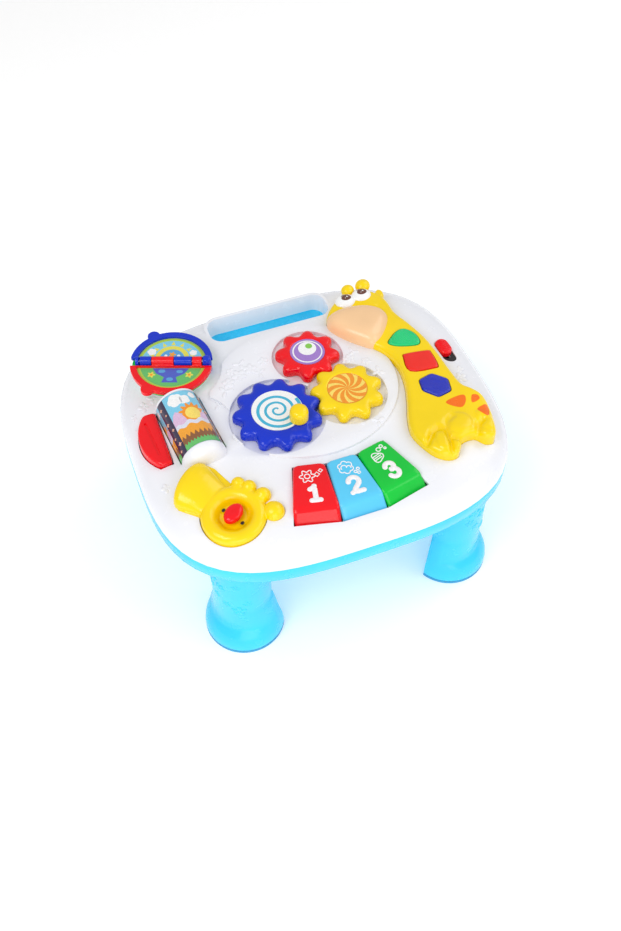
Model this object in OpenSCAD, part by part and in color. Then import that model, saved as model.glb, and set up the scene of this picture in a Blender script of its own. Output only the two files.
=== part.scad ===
// Musical activity table: a low table with gears, drum, flip book, keys, trumpet and giraffe.
// Origin at the floor, below the middle of the table top. +Z up, -Y is the keyboard side.

/* [Table top] */
// Width of the table top
table_w = 340; // [340:1:372]
// Depth of the table top, keyboard edge to handle edge
table_d = 302; // [302:1:326]
// Height of the deck above the floor
deck_h = 160; // [150:1:200]
// Drop from the deck to the seam between the two shells
rim_drop = 23; // [20:1:30]
// Height of the lower shell's band below the seam
band_h = 19; // [17:1:26]
// Wall of both shells
wall = 3; // [2.5:0.25:3.5]
// Height of the raised field round the gears
field_h = 2.5; // [1:0.5:4]

/* [Handle] */
// Length of the hand slot
slot_w = 122; // [100:1:126]
// Opening of the hand slot, front to back
slot_d = 33; // [28:1:36]
// Thickness of the carrying bar behind the slot
bar_d = 15; // [13:1:20]

/* [Legs] */
// Distance of the leg axes from the middle, across the table
leg_x = 106.8; // [100:1:108]
// Distance of the leg axes from the middle, front to back
leg_y = 103.8; // [96:1:105]
// Radius of the leg's neck
neck_r = 27; // [24:0.5:29]
// Radius of the foot
foot_r = 37.8; // [34:0.5:42]
// Distance of the flat inner side from the leg axis
leg_flat = 11.6; // [8:0.2:15]
// Height of the flared foot
flare_h = 50; // [40:1:60]
// Wall of the hollow legs
leg_wall = 2.5; // [2:0.25:3.5]
// Thickness of the foot pads
pad_h = 3; // [2:0.5:5]

/* [Gears] */
// Gear module: pitch diameter over teeth
gear_module = 6.9; // [6.6:0.05:7]
// Teeth of the blue gear
blue_teeth = 11; // [10:1:11]
// Teeth of the yellow gear
yellow_teeth = 9; // [8:1:9]
// Teeth of the red gear
red_teeth = 8; // [7:1:8]
// Half the tooth depth
tooth_amp = 3.4; // [2.6:0.1:3.6]
// Thickness of the gears
gear_h = 11; // [8:0.5:13]
// Depth of the gear wells below the raised field
well_depth = 4; // [3:0.5:5]
// Radius of the gear axles
axle_r = 4; // [3:0.25:5]
// Radial clearance of everything that turns on a pin
run_gap = 0.05; // [0.02:0.01:0.09]
// Radius of the crank peg on the blue gear
peg_r = 8.5; // [7:0.5:9]
// Height of the crank peg above the gear
peg_h = 14; // [10:0.5:18]

/* [Drum] */
// Radius of the drum
drum_r = 20.5; // [17:0.5:21]
// Length of the drum
drum_l = 64; // [56:1:66]
// Height of the drum's axis above the deck
drum_rise = -2; // [-4:0.5:0]

/* [Flip book] */
// Radius of the half-ring pages
page_r = 38.5; // [34:0.5:40]
// Thickness of a page
page_h = 4.5; // [3.5:0.25:6]
// Width of the frame round each page
page_frame = 6; // [4:0.5:8]
// Height of the hinge axis above the deck
hinge_rise = 13; // [11:0.5:16]
// Radius of the hinge knuckles
knuckle_r = 4.5; // [4:0.25:5.5]

/* [Keys] */
// Length of a key's top
key_l = 55; // [46:1:58]
// Width of a key at its hinge end
key_back_w = 28.4; // [25:0.2:28.4]
// Width of a key at its free end
key_front_w = 41; // [34:0.2:41]
// Height of the key tops above the deck
key_rise = 4; // [3:0.5:7]
// Wall of a key
key_wall = 2.2; // [1.6:0.2:3]

/* [Buttons] */
// Travel of the round and shaped buttons
press = 2.5; // [1.5:0.25:3]
// Side clearance of keys and buttons in their openings
side_gap = 0.6; // [0.4:0.1:0.9]
// Travel of the power switch
switch_travel = 9; // [6:0.5:10]
// Height of the giraffe's back above the deck
giraffe_h = 10; // [8:0.5:14]

/* [Hidden] */
$fn = 72;

eps = 0.01;
seam_z = deck_h - rim_drop;
floor_z = seam_z - band_h;
floor_top = floor_z + wall;
field_z = deck_h + field_h;
well_z = field_z - well_depth;
corner_n = 3.2;
crown_in = 66;
crown_p = 2.6;
left_x = -table_w / 2;
right_x = table_w / 2;
front_y = -table_d / 2;
back_y = table_d / 2;
seat_drop = 9;
seat_z = deck_h - seat_drop;
plate_h = 3;
field_a = 88;
field_b = 80;
field_y = 17;
slot_r = 12;
slot_y = table_d / 2 - bar_d - slot_d / 2;

white = "#f4f5f7";
sky = "#4fc4f0";
royal = "#2b4fd0";
sun = "#f7d41c";
cherry = "#e3262f";
leaf = "#1fae57";

// Plan of the table top, moved inwards by d
function top_a(d) = table_w / 2 - d;
function top_b(d) = table_d / 2 - d;
function super_r(t, a, b, n) = pow(pow(abs(cos(t)) / a, n) + pow(abs(sin(t)) / b, n), -1 / n);
function outline(d, n = 88) = [for (i = [0 : n - 1])
    let (t = 360 * i / n, r = super_r(t, top_a(d), top_b(d), corner_n)) [r * cos(t), r * sin(t)]];
function ellipse_pts(a, b, n = 72) = [for (i = [0 : n - 1]) [a * cos(360 * i / n), b * sin(360 * i / n)]];

// Closed smooth curve through p, k points for each span
function spline_pt(a, b, c, d, t) = 0.5 * (2 * b + (c - a) * t + (2 * a - 5 * b + 4 * c - d) * t * t
    + (3 * b - a - 3 * c + d) * t * t * t);
function smooth(p, k = 3) = let (n = len(p)) [for (i = [0 : n - 1]) for (j = [0 : k - 1])
    spline_pt(p[(i + n - 1) % n], p[i], p[(i + 1) % n], p[(i + 2) % n], j / k)];
function unit2(v) = v / norm(v);
// Every point of p moved inwards by d, for p given anticlockwise
function shrink(p, d) = let (n = len(p)) [for (i = [0 : n - 1])
    let (t = unit2(p[(i + 1) % n] - p[(i + n - 1) % n])) p[i] + d * [-t[1], t[0]]];
function moved(p, v) = [for (q = p) q + v];
function at_z(p, z) = [for (q = p) [q[0], q[1], z]];

// Solid through a stack of outlines that all have the same number of points
module loft(rings) {
    n = len(rings[0]);
    m = len(rings);
    pts = [for (r = rings) for (q = r) q];
    sides = [for (k = [0 : m - 2]) for (i = [0 : n - 1])
        let (j = (i + 1) % n) each [[k * n + i, (k + 1) * n + i, k * n + j],
        [k * n + j, (k + 1) * n + i, (k + 1) * n + j]]];
    polyhedron(pts, concat([[for (i = [0 : n - 1]) i]], sides,
        [[for (i = [n - 1 : -1 : 0]) (m - 1) * n + i]]), convexity = 8);
}

// Block on the smooth curve through p whose upper edge is rounded by r
module pillow(p, z0, z1, r, steps = 3) {
    intersection() {
        loft(concat([at_z(smooth(p), z0 - 1)], [for (k = [0 : steps])
            let (a = 90 * k / steps) at_z(smooth(shrink(p, r * (1 - cos(a)))), z1 - r + r * sin(a))],
            [at_z(smooth(shrink(p, r)), z1 + 1)]));
        translate([-table_w, -table_w, z0]) cube([2 * table_w, 2 * table_w, z1 - z0]);
    }
}

module prism(p, z0, z1) {
    translate([0, 0, z0]) linear_extrude(z1 - z0) polygon(p);
}

module round_rect(w, d, r, z0, z1) {
    translate([0, 0, z0]) linear_extrude(z1 - z0) {
        if (w > 2 * r) square([w - 2 * r, d], center = true);
        if (d > 2 * r) square([w, d - 2 * r], center = true);
        for (x = [-1, 1], y = [-1, 1])
            translate([x * (w / 2 - r), y * (d / 2 - r)]) circle(r);
    }
}

module disc(r, z0, z1) {
    translate([0, 0, z0]) cylinder(r = r, h = z1 - z0);
}

// Domed upper skin, from the seam to the deck, moved inwards by d
module dome(d) {
    crown = crown_in - d;
    loft(concat([at_z(outline(d), seam_z - (d > 0 ? 1 : 0))], [for (k = [0 : 6])
        let (a = 15 * k, s = 1 - pow(cos(a), 2 / crown_p), h = pow(sin(a), 2 / crown_p))
        at_z(outline(d + crown * s), seam_z + (k == 0 ? 0.5 : 0) + (rim_drop - d) * h)]));
}

// ---- places on the deck

blue_pos = [-34.6, -5.8];
yellow_dir = 2.2;
red_dir = 108;
function pitch(n) = gear_module * n / 2;
yellow_pos = blue_pos + (pitch(blue_teeth) + pitch(yellow_teeth)) * [cos(yellow_dir), sin(yellow_dir)];
red_pos = yellow_pos + (pitch(yellow_teeth) + pitch(red_teeth)) * [cos(red_dir), sin(red_dir)];
gears = [[blue_pos, blue_teeth], [yellow_pos, yellow_teeth], [red_pos, red_teeth]];
well_gap = 3;
function tip_r(n) = pitch(n) + tooth_amp;

gear_float = 0.5;
gear_z = well_z + gear_float;
gear_top = gear_z + gear_h;
head_h = 2.5;
head_r = axle_r + 3;
label_t = 0.8;
label_rs = [23.5, 18.5, 16.5];
peg_pos = blue_pos + [14.8, -16.4];
pin_r = 2.5;

drum_pos = [left_x + 57, 8];
drum_turn = 5;
drum_z = deck_h + drum_rise;
drum_gap = 1.2;
drum_end_gap = 0.6;

bar_mid = [left_x + 22, 8];
bar_half = 30.5;
bar_left = 12;
bar_right = 10.5;
bar_bulge = 11;
bar_r = (bar_half * bar_half + bar_bulge * bar_bulge) / (2 * bar_bulge);
bar_spring_y = 15;
bar_z = seam_z + 6;

flip_pos = [left_x + 62, back_y - 68];
flip_turn = -20.7;
hinge_z = deck_h + hinge_rise;
flip_pin_r = 1.5;
page_gap = 0.35;
page_z = hinge_z - page_gap - page_h;
base_z = page_z - 2.9;

trumpet_pos = [left_x + 65, front_y + 58];
trumpet_r = 29;
trumpet_turn = -47.3;
trumpet_tilt = 5;

fan_x = 1;
fan_y = front_y + 215;
fan_r = 135;
fan_step = 12.4;
key_top = deck_h + key_rise;
key_skirt = 20;
key_slope = 4;
key_axis_z = deck_h - 5;
key_axis_y = -4;
key_pin_r = 1.5;
key_press = 4;
web_back = fan_r * sin(fan_step / 2) - key_back_w / 2 + side_gap;
web_front = (fan_r + key_l + key_slope) * sin(fan_step / 2) - key_front_w / 2 + side_gap;

board_z = seam_z + 1;
board_t = 1.6;

screws = [[-76, -44], [60, -50], [-22, 89], [left_x + 19, 53], [right_x - 18, -18],
    [-68, front_y + 20], [72, front_y + 22]];
screw_r = 1.5;

battery_pos = [-32, 20];
battery_r = 7.25;
battery_l = 50.5;
battery_n = 3;
box_w = battery_l + 10;
box_d = battery_n * 2 * battery_r + 4;
door_t = 2;

speaker_pos = [45, 28];
speaker_r = 25;

switch_pos = [right_x - 25, 18];
switch_turn = 3;
switch_r = 6.5;

// ---- giraffe plan, anticlockwise from the muzzle

giraffe_pos = [right_x - 60, 0];
giraffe_pts = moved([[-61.5, 80], [-57, 70], [-49, 58.5], [-41, 49.5], [-31.5, 40],
    [-23.5, 27.5], [-19.5, 9], [-22, -12], [-29, -33], [-36, -50], [-40.5, -68], [-37, -84],
    [-30, -98], [-20, -105], [-10, -104], [-3, -93], [11, -91], [19, -98], [28, -98], [33, -88],
    [37, -70], [38, -53], [33, -42], [26, -33], [23.5, -12], [22, 12], [19, 34], [12.5, 56],
    [6, 74], [5, 90], [1, 103], [-10, 113], [-30, 112.5], [-47, 106], [-59, 92]], giraffe_pos);
giraffe_plan = smooth(giraffe_pts);
giraffe_z = deck_h + giraffe_h;
giraffe_round = 4.5;
giraffe_wall = 5;
muzzle_pts = moved([[-59, 77.5], [-54.5, 68.5], [-47, 58], [-39, 49.5], [-30, 43.5],
    [-20.8, 48], [-9.8, 58.7], [-4.3, 71.7], [-7.8, 82.7], [-20.3, 90.2], [-36.3, 92.7],
    [-48.3, 88.7], [-56.3, 82.2]], giraffe_pos);
triangle_pts = moved([[-18, 35.5], [-13, 30], [-3, 26], [7, 24], [11, 27.5], [11, 36], [7.5, 43.5],
    [1.5, 48], [-6, 46], [-13, 41]], giraffe_pos);
square_pts = moved([[-13, -4.5], [9, -9], [14, -6.5], [14.5, 10], [12, 13.5], [-8.5, 16.5],
    [-12, 13.5]], giraffe_pos);
hexagon_pts = moved([[-12.5, -31], [-2, -43], [12, -40], [15, -26], [3.5, -14.5],
    [-10.5, -18]], giraffe_pos);
light_plans = [smooth(triangle_pts), smooth(square_pts), hexagon_pts];
light_mids = moved([[2, 32], [0, 2], [1, -28]], giraffe_pos);
light_rise = 1.2;
stem_r = 4;
dome_h = 3;
eye_pos = moved([[-34, 103], [-17.5, 104.5]], giraffe_pos);
eye_r = 9.6;
horn_pos = moved([[-26.5, 118], [-10, 119]], giraffe_pos);
horn_rs = [6, 7];
horn_z = giraffe_z - 4;
eye_seat = 1.2;

// ---- shells

module seat_cut(p) {
    prism(shrink(p, -0.15), seat_z, deck_h + 40);
}

module seat_plate(p) {
    intersection() {
        prism(shrink(p, -wall), seat_z - plate_h, deck_h);
        dome(0.5);
    }
}

module bar_plan(grow, z0, z1) {
    translate([bar_mid[0], bar_mid[1], z0]) linear_extrude(z1 - z0) intersection() {
        translate([bar_r - bar_left, 0]) circle(bar_r + grow);
        translate([-bar_left - 3, -bar_half - grow])
            square([bar_left + 3 + bar_right + grow, 2 * (bar_half + grow)]);
    }
}

module key_place(k) {
    translate([fan_x, fan_y, 0]) rotate([0, 0, fan_step * k]) translate([0, -fan_r, 0]) children();
}

function key_plan(grow) = [[-key_back_w / 2 - grow, grow],
    [-key_front_w / 2 - grow, -key_l - key_slope - grow],
    [key_front_w / 2 + grow, -key_l - key_slope - grow], [key_back_w / 2 + grow, grow]];

module top_shell() color(white) {
    difference() {
        union() {
            difference() {
                union() {
                    dome(0);
                    intersection() {
                        prism(moved(ellipse_pts(field_a, field_b), [0, field_y]), deck_h - 4, field_z);
                        dome_above();
                    }
                }
                dome(wall);
                slot_hole(0, seam_z - 1, field_z + 1);
            }
            difference() {
                slot_hole(-wall, seam_z, deck_h - 2);
                slot_hole(0, seam_z - 1, deck_h);
            }
            for (g = gears) translate(g[0]) {
                disc(tip_r(g[1]) + well_gap + wall, well_z - wall, deck_h - 1);
                disc(axle_r + 4, well_z - 9, well_z - 1);
            }
            seat_plate(giraffe_plan);
            trumpet_seat();
            flip_post();
            drum_box();
            for (s = screws) translate(s) difference() {
                disc(5, seam_z + 3, deck_h - wall - screw_sink(s) + 0.5);
                disc(screw_r, seam_z - 1, deck_h - 8);
            }
            for (k = [-1 : 1]) key_place(k) key_ear();
            switch_frame();
        }
        for (g = gears) translate(g[0]) {
            disc(tip_r(g[1]) + well_gap, well_z, field_z + 5);
            disc(axle_r, well_z - 10, well_z + 1);
        }
        seat_cut(giraffe_plan);
        for (m = light_mids) translate(m) disc(stem_r + side_gap, seat_z - 10, seat_z + 1);
        trumpet_cut();
        drum_hole();
        bar_plan(side_gap, seam_z + 2, deck_h + 20);
        bar_plan(1.8 + side_gap, bar_z - press - 1.2, bar_z + 3.6);
        key_cut();
        switch_cut();
        translate(flip_pos) disc(flip_peg_r, deck_h - 25, base_z + 1);
    }
}

// Space above the deck where the raised field may stand
module dome_above() {
    difference() {
        translate([0, 0, deck_h - 5]) linear_extrude(12) square([220, 230], center = true);
        for (k = [-1 : 1]) key_place(k) prism(key_plan(3), deck_h - 6, deck_h + 8);
        translate([drum_pos[0], drum_pos[1], deck_h - 6]) cylinder(r = drum_l / 2 + 8, h = 20);
        translate([flip_pos[0], flip_pos[1], deck_h - 6]) cylinder(r = page_r + 8, h = 20);
        slot_hole(-wall - 3, deck_h - 6, deck_h + 8);
        translate([0, 0, -1]) seat_cut(shrink(giraffe_plan, 0.2));
    }
}

function screw_sink(s) = abs(s[0]) > 120 ? 7 : abs(s[1]) > 120 ? 5 : 0;

module slot_hole(d, z0, z1) {
    translate([0, slot_y]) round_rect(slot_w - 2 * d, slot_d - 2 * d, slot_r - d, z0, z1);
}

ear_back = 6;
module key_ear_block() {
    translate([-2.5, key_axis_y - 4, key_axis_z - 4]) cube([5, ear_back + 4 - key_axis_y, 7.5]);
}

module key_ear() {
    difference() {
        key_ear_block();
        translate([-5, key_axis_y, key_axis_z]) rotate([0, 90, 0]) cylinder(r = key_pin_r, h = 10);
    }
    translate([-2.5, side_gap + 1, key_axis_z]) cube([5, ear_back - side_gap - 1, deck_h - key_axis_z - 1]);
}

module key_cut() {
    for (k = [-1 : 1]) key_place(k) difference() {
        prism(key_plan(side_gap), seam_z + 1.5, deck_h + 30);
        key_ear_block();
    }
    for (k = [-0.5, 0.5]) key_place(k) prism([[-web_back, -2], [-web_front, -key_l - key_slope - 0.5],
        [web_front, -key_l - key_slope - 0.5], [web_back, -2]], seam_z + 1.8, deck_h + 29);
}

module trumpet_cut() {
    trumpet_block(0.15, seat_z, deck_h + 30);
    translate(trumpet_pos) disc(stem_r + side_gap, seat_z - 10, seat_z + 1);
}

module trumpet_seat() {
    intersection() {
        trumpet_block(wall, seat_z - plate_h, deck_h);
        dome(0.5);
    }
}

bell_x = -46;
bell_y = 9.5;
bell_r = 24.5;
mouth_at = [33, -9];
mouth_r = 9.5;
valve_at = [[13.5, 28], [21, 21], [29.5, 9]];
valve_rs = [4.5, 5, 5.5];
// Plan of the trumpet's round body, bell, mouthpiece and valves, g larger all round
module trumpet_block(g, z0, z1) {
    translate([trumpet_pos[0], trumpet_pos[1], z0]) linear_extrude(z1 - z0) union() {
        circle(trumpet_r + g);
        rotate(trumpet_turn) polygon([[bell_x - g, bell_y - bell_r - g],
            [bell_x + 8, bell_y - bell_r - g], [-16, -14 - g], [-16, 26 + g],
            [bell_x + 8, bell_y + bell_r + g], [bell_x - g, bell_y + bell_r + g]]);
        translate(mouth_at) circle(mouth_r + g);
        for (k = [0 : 2]) translate(valve_at[k]) circle(valve_rs[k] + 0.5 + g);
    }
}

flip_peg_r = 6;
flip_stand_r = 34;
module flip_post() {
    translate(flip_pos) difference() {
        disc(flip_stand_r, deck_h - 14, base_z);
        disc(flip_stand_r - wall, deck_h - 15, base_z - 2.5);
    }
    translate(flip_pos) disc(flip_peg_r + 2.5, deck_h - 12, base_z - 1);
}

module drum_place() {
    translate([drum_pos[0], drum_pos[1], drum_z]) rotate([0, 0, drum_turn]) rotate([-90, 0, 0]) children();
}

drum_hump = 9;
drum_plate = 2;
module drum_box() {
    end = drum_l / 2 + drum_end_gap;
    drum_place() difference() {
        union() {
            translate([0, 0, end]) cylinder(r = drum_r, h = drum_plate);
            translate([-drum_r, 0, end]) cube([2 * drum_r, drum_r - 2, drum_plate]);
            translate([0, 0, -end]) mirror([0, 0, 1]) {
                cylinder(r = drum_r, h = 3);
                translate([0, 0, 3]) cylinder(r1 = drum_r, r2 = drum_r - 2, h = 3);
                translate([0, 0, 6]) cylinder(r1 = drum_r - 2, r2 = drum_r - 6, h = drum_hump - 6);
                translate([-drum_r, 0, 0]) cube([2 * drum_r, drum_r - 6, drum_hump - 4]);
            }
        }
        translate([0, 0, -end - drum_hump + 3]) cylinder(r = 2, h = drum_l + 40);
    }
}

module drum_hole() {
    drum_place() translate([-drum_r - drum_gap, -40, -drum_l / 2 - drum_end_gap])
        cube([2 * (drum_r + drum_gap), 60, drum_l + 2 * drum_end_gap]);
}

module switch_place() {
    translate([switch_pos[0], switch_pos[1], 0]) rotate([0, 0, switch_turn]) children();
}

switch_seat = seat_z + 3;
module switch_frame() {
    intersection() {
        switch_place() round_rect(2 * switch_r + 6, 2 * switch_r + 14 + switch_travel + 6,
            switch_r + 3, switch_seat - plate_h, deck_h);
        dome(0.5);
    }
}

module switch_cut() {
    switch_place() {
        round_rect(2 * switch_r + 1, 2 * switch_r + 8 + switch_travel, switch_r + 0.5,
            switch_seat, deck_h + 10);
        round_rect(5, 5 + switch_travel + 1, 2.5, switch_seat - 10, switch_seat + 1);
    }
}

// Half-space solid that keeps the outer, round part of a leg
module leg_side(flat) {
    translate([-60, -60, -1]) cube([120, 60 + flat, deck_h]);
}

function leg_corner(sx, sy) = [sx * leg_x, sy * leg_y, 0];
function leg_turn(sx, sy) = sx > 0 ? (sy > 0 ? 135 : 45) : (sy > 0 ? -135 : -45);

module leg_place(sx, sy) {
    translate(leg_corner(sx, sy)) rotate([0, 0, leg_turn(sx, sy)]) children();
}

spigot_h = 12;
spigot_r = neck_r - 5;
spigot_flat = leg_flat - 4;
module spigot(d, z0, z1) {
    intersection() {
        disc(spigot_r + d, z0, z1);
        leg_side(spigot_flat + d);
    }
}

module bottom_shell() color(sky) {
    difference() {
        union() {
            difference() {
                loft([at_z(outline(4), floor_z), at_z(outline(1.2), floor_z + 1.2),
                    at_z(outline(0), floor_z + 4), at_z(outline(0), seam_z)]);
                prism(outline(wall), floor_top, seam_z + 1);
            }
            difference() {
                slot_hole(-wall, floor_z + 0.5, seam_z);
                slot_hole(0, floor_z - 1, seam_z + 1);
            }
            for (x = [-1, 1], y = [-1, 1]) leg_place(x, y)
                spigot(0.15 + wall, floor_z + 1, floor_z + spigot_h + wall);
            for (s = screws) translate(s) disc(5, floor_z + 1, seam_z + 3 - eps);
            translate(battery_pos) translate([-box_w / 2 - 2, -box_d / 2 - 2, floor_z + 1])
                cube([box_w + 4, box_d + 4, 2 * battery_r + 5]);
            translate(speaker_pos) disc(speaker_r + 2.5, floor_z + 1, floor_top + 4);
            board_posts();
            for (s = [-1, 1]) translate(bar_mid + [0, s * bar_spring_y])
                disc(spring_r - 0.8, floor_z + 1, floor_top + 6);
        }
        slot_hole(0, floor_z - 1, seam_z + 1);
        for (x = [-1, 1], y = [-1, 1]) leg_place(x, y) spigot(0.15, floor_z - 1, floor_z + spigot_h);
        for (s = screws) translate(s) {
            disc(screw_r + 0.3, floor_z - 1, seam_z + 10);
            disc(3.6, floor_z - 1, floor_z + 6);
        }
        translate(battery_pos) {
            translate([-box_w / 2, -box_d / 2, floor_z + door_t]) cube([box_w, box_d, 2 * battery_r + 1.5]);
            translate([-box_w / 2 - 1, -box_d / 2 - 1, floor_z - 1]) cube([box_w + 2, box_d + 2, door_t + 1]);
            translate([0, box_d / 2 + 4.5]) disc(screw_r + 0.3, floor_z - 1, floor_z + 12);
        }
        translate(speaker_pos) {
            disc(speaker_r, floor_top, floor_top + 6);
            for (x = [-2 : 2], y = [-2 : 2]) if (x * x + y * y < 6)
                translate([7 * x, 7 * y]) disc(1.6, floor_z - 1, floor_top + 1);
        }
    }
}

board_post_pts = moved([[-18, 44], [16, 44], [-16, -34], [20, -34]], giraffe_pos);
key_post_pts = [[-42, front_y + 39], [44, front_y + 39]];
module board_posts() {
    for (p = board_post_pts) translate(p) disc(3, floor_z + 1, board_z);
    for (p = key_post_pts) translate(p) disc(3, floor_z + 1, board_z);
}

// ---- legs and feet

function leg_profile(d) = [[0, pad_h], [foot_r - d, pad_h], [foot_r - d, 6], [foot_r - d - 0.8, 14],
    [foot_r - d - 3, 24], [foot_r - d - 6.4, 36], [neck_r - d + 1.6, flare_h], [neck_r - d, flare_h + 3],
    [neck_r - d, floor_z - d], [0, floor_z - d]];

module leg(sx, sy) color(sky) leg_place(sx, sy) {
    difference() {
        intersection() {
            rotate_extrude() polygon(leg_profile(0));
            leg_side(leg_flat);
        }
        translate([0, 0, -1]) intersection() {
            rotate_extrude() polygon(leg_profile(leg_wall));
            leg_side(leg_flat - leg_wall);
        }
        intersection() {
            disc(foot_r - leg_wall, 0, pad_h + 2);
            leg_side(leg_flat - leg_wall);
        }
    }
    spigot(0, floor_z - 1, floor_z + spigot_h - 0.5);
}

module leg_front_left() leg(-1, -1);
module leg_front_right() leg(1, -1);
module leg_back_left() leg(-1, 1);
module leg_back_right() leg(1, 1);

module foot_pads() color("#2f9fd0") {
    for (x = [-1, 1], y = [-1, 1]) leg_place(x, y) intersection() {
        union() {
            disc(foot_r, 0, pad_h);
            disc(foot_r - leg_wall, pad_h - eps, pad_h + 1.5);
        }
        union() {
            translate([-60, -60, -1]) cube([120, 60 + leg_flat, pad_h + 1]);
            translate([-60, -60, -1]) cube([120, 60 + leg_flat - leg_wall, pad_h + 5]);
        }
    }
}

// ---- gears

function tooth(c) = sign(c) * pow(abs(c), 0.8);
function gear_pts(n, phase, k = 12) = [for (i = [0 : n * k - 1])
    let (t = 360 * i / (n * k), r = pitch(n) - 0.3 + tooth_amp * tooth(cos(n * t)))
    [r * cos(t + phase), r * sin(t + phase)]];

blue_phase = yellow_dir;
yellow_phase = 180 + yellow_dir + 180 / yellow_teeth;
// Angle of the yellow gear's nearest tooth, carried on to the red gear
red_offset = (red_dir - yellow_phase) * yellow_teeth / red_teeth;
red_phase = 180 + red_dir + 180 / red_teeth + red_offset;

module gear(pos, n, phase, label_r) translate(pos) difference() {
    union() {
        prism(gear_pts(n, phase), gear_z, gear_top - 1.5);
        prism(shrink(gear_pts(n, phase), 0.8), gear_top - 1.6, gear_top);
    }
    disc(axle_r + run_gap, gear_z - 1, gear_top + 1);
    disc(head_r + 0.5, gear_top - label_t - head_h - 0.6, gear_top + 1);
    disc(label_r, gear_top - label_t, gear_top + 1);
}

module gear_blue() color(royal) difference() {
    gear(blue_pos, blue_teeth, blue_phase, label_rs[0]);
    translate(peg_pos) disc(pin_r, gear_z + 2, gear_top + 1);
}
module gear_yellow() color(sun) gear(yellow_pos, yellow_teeth, yellow_phase, label_rs[1]);
module gear_red() color(cherry) gear(red_pos, red_teeth, red_phase, label_rs[2]);

module label(k) translate(gears[k][0]) disc(label_rs[k], gear_top - label_t, gear_top);
module label_blue() color("#bfeef8") difference() {
    label(0);
    translate(peg_pos) disc(peg_r + 0.5, gear_z, gear_top + 1);
}
module label_yellow() color("#f6a623") label(1);
module label_red() color("#a884cc") label(2);

module gear_axles() color("#c9ccd0") for (g = gears) translate(g[0]) {
    disc(axle_r, well_z - 9, gear_top - label_t - head_h - 0.3);
    disc(head_r, gear_top - label_t - head_h - 0.3, gear_top - label_t - 0.3);
}

module crank_pin() color("#c9ccd0") translate(peg_pos) {
    disc(pin_r, gear_z + 2, gear_top + peg_h - 5);
    disc(pin_r + 2, gear_top + peg_h - 5, gear_top + peg_h - 3);
}

module crank_peg() color(sun) translate([peg_pos[0], peg_pos[1], gear_top + 0.3]) difference() {
    rotate_extrude() difference() {
        union() {
            square([peg_r, peg_h - 4]);
            translate([0, peg_h - 4.3]) square([peg_r - 4, 4]);
            translate([peg_r - 4, peg_h - 4.3]) intersection() {
                circle(4);
                square(4);
            }
        }
        square([pin_r + run_gap, peg_h - 4]);
        translate([0, peg_h - 5.5]) square([pin_r + 2.3, 2.7]);
    }
}

// ---- drum and press bar

drum_wall = 2;
module drum() color("#f2a033") drum_place() difference() {
    cylinder(r = drum_r, h = drum_l, center = true);
    cylinder(r = drum_r - drum_wall, h = drum_l + 2, center = true);
}

module drum_caps() color(white) drum_place() for (s = [-1, 1])
    translate([0, 0, s * (drum_l / 2 - 1.5)]) difference() {
        cylinder(r = drum_r - drum_wall, h = 3, center = true);
        cylinder(r = 2 + run_gap, h = 5, center = true);
    }

module drum_axle() color("#c9ccd0") drum_place()
    translate([0, 0, -drum_l / 2 - drum_end_gap - drum_hump + 3.5])
        cylinder(r = 2, h = drum_l + 2 * drum_end_gap + drum_hump + drum_plate - 4);

module press_bar() color(cherry) difference() {
    union() {
        bar_plan(0, bar_z, deck_h + 2);
        bar_plan(1.8, bar_z, bar_z + 3);
    }
    translate(bar_mid) round_rect(2.4, 40, 1.2, deck_h + 0.5, deck_h + 3);
    bar_plan(-2.2, bar_z - 1, deck_h - 1);
}

spring_r = 3;
module bar_springs() color("#c9ccd0") for (s = [-1, 1]) translate(bar_mid + [0, s * bar_spring_y])
    difference() {
        disc(spring_r, floor_top, deck_h - 1.2);
        disc(spring_r - 0.6, floor_top - 1, deck_h);
    }

// ---- flip book

module flip_place() {
    translate([flip_pos[0], flip_pos[1], 0]) rotate([0, 0, flip_turn]) children();
}

knuckle_half = page_r - 9.5;
knuckle_ends = knuckle_half * [-1, -0.62, 0.1, 0.68, 1];
ear_w = 3;
card_edge = knuckle_r + 1.3;
module hinge_rod(x0, x1, r) {
    translate([x0, 0, hinge_z]) rotate([0, 90, 0]) cylinder(r = r, h = x1 - x0);
}

hinge_half = knuckle_half + 0.9;
module flip_base() color("#7ac943") flip_place() difference() {
    union() {
        disc(page_r - 1.5, base_z, base_z + 2.5);
        for (s = [-1, 1]) translate([s * (hinge_half + ear_w / 2) - ear_w / 2, 0, 0]) difference() {
            union() {
                translate([0, -knuckle_r, base_z]) cube([ear_w, 2 * knuckle_r, hinge_z - base_z]);
                translate([0, 0, hinge_z]) rotate([0, 90, 0]) cylinder(r = knuckle_r, h = ear_w);
            }
            translate([-1, 0, hinge_z]) rotate([0, 90, 0]) cylinder(r = flip_pin_r, h = ear_w + 2);
        }
        disc(flip_peg_r, deck_h - 12, base_z + 1);
    }
    disc(page_r - page_frame - 2, base_z + 2, base_z + 3);
}

module flip_picture() color("#9bd7f0") flip_place()
    disc(page_r - page_frame - 2, base_z + 2, base_z + 2.4);

module flip_pin() color("#c9ccd0") flip_place()
    hinge_rod(-hinge_half - ear_w - 0.5, hinge_half + ear_w + 0.5, flip_pin_r);

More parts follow.
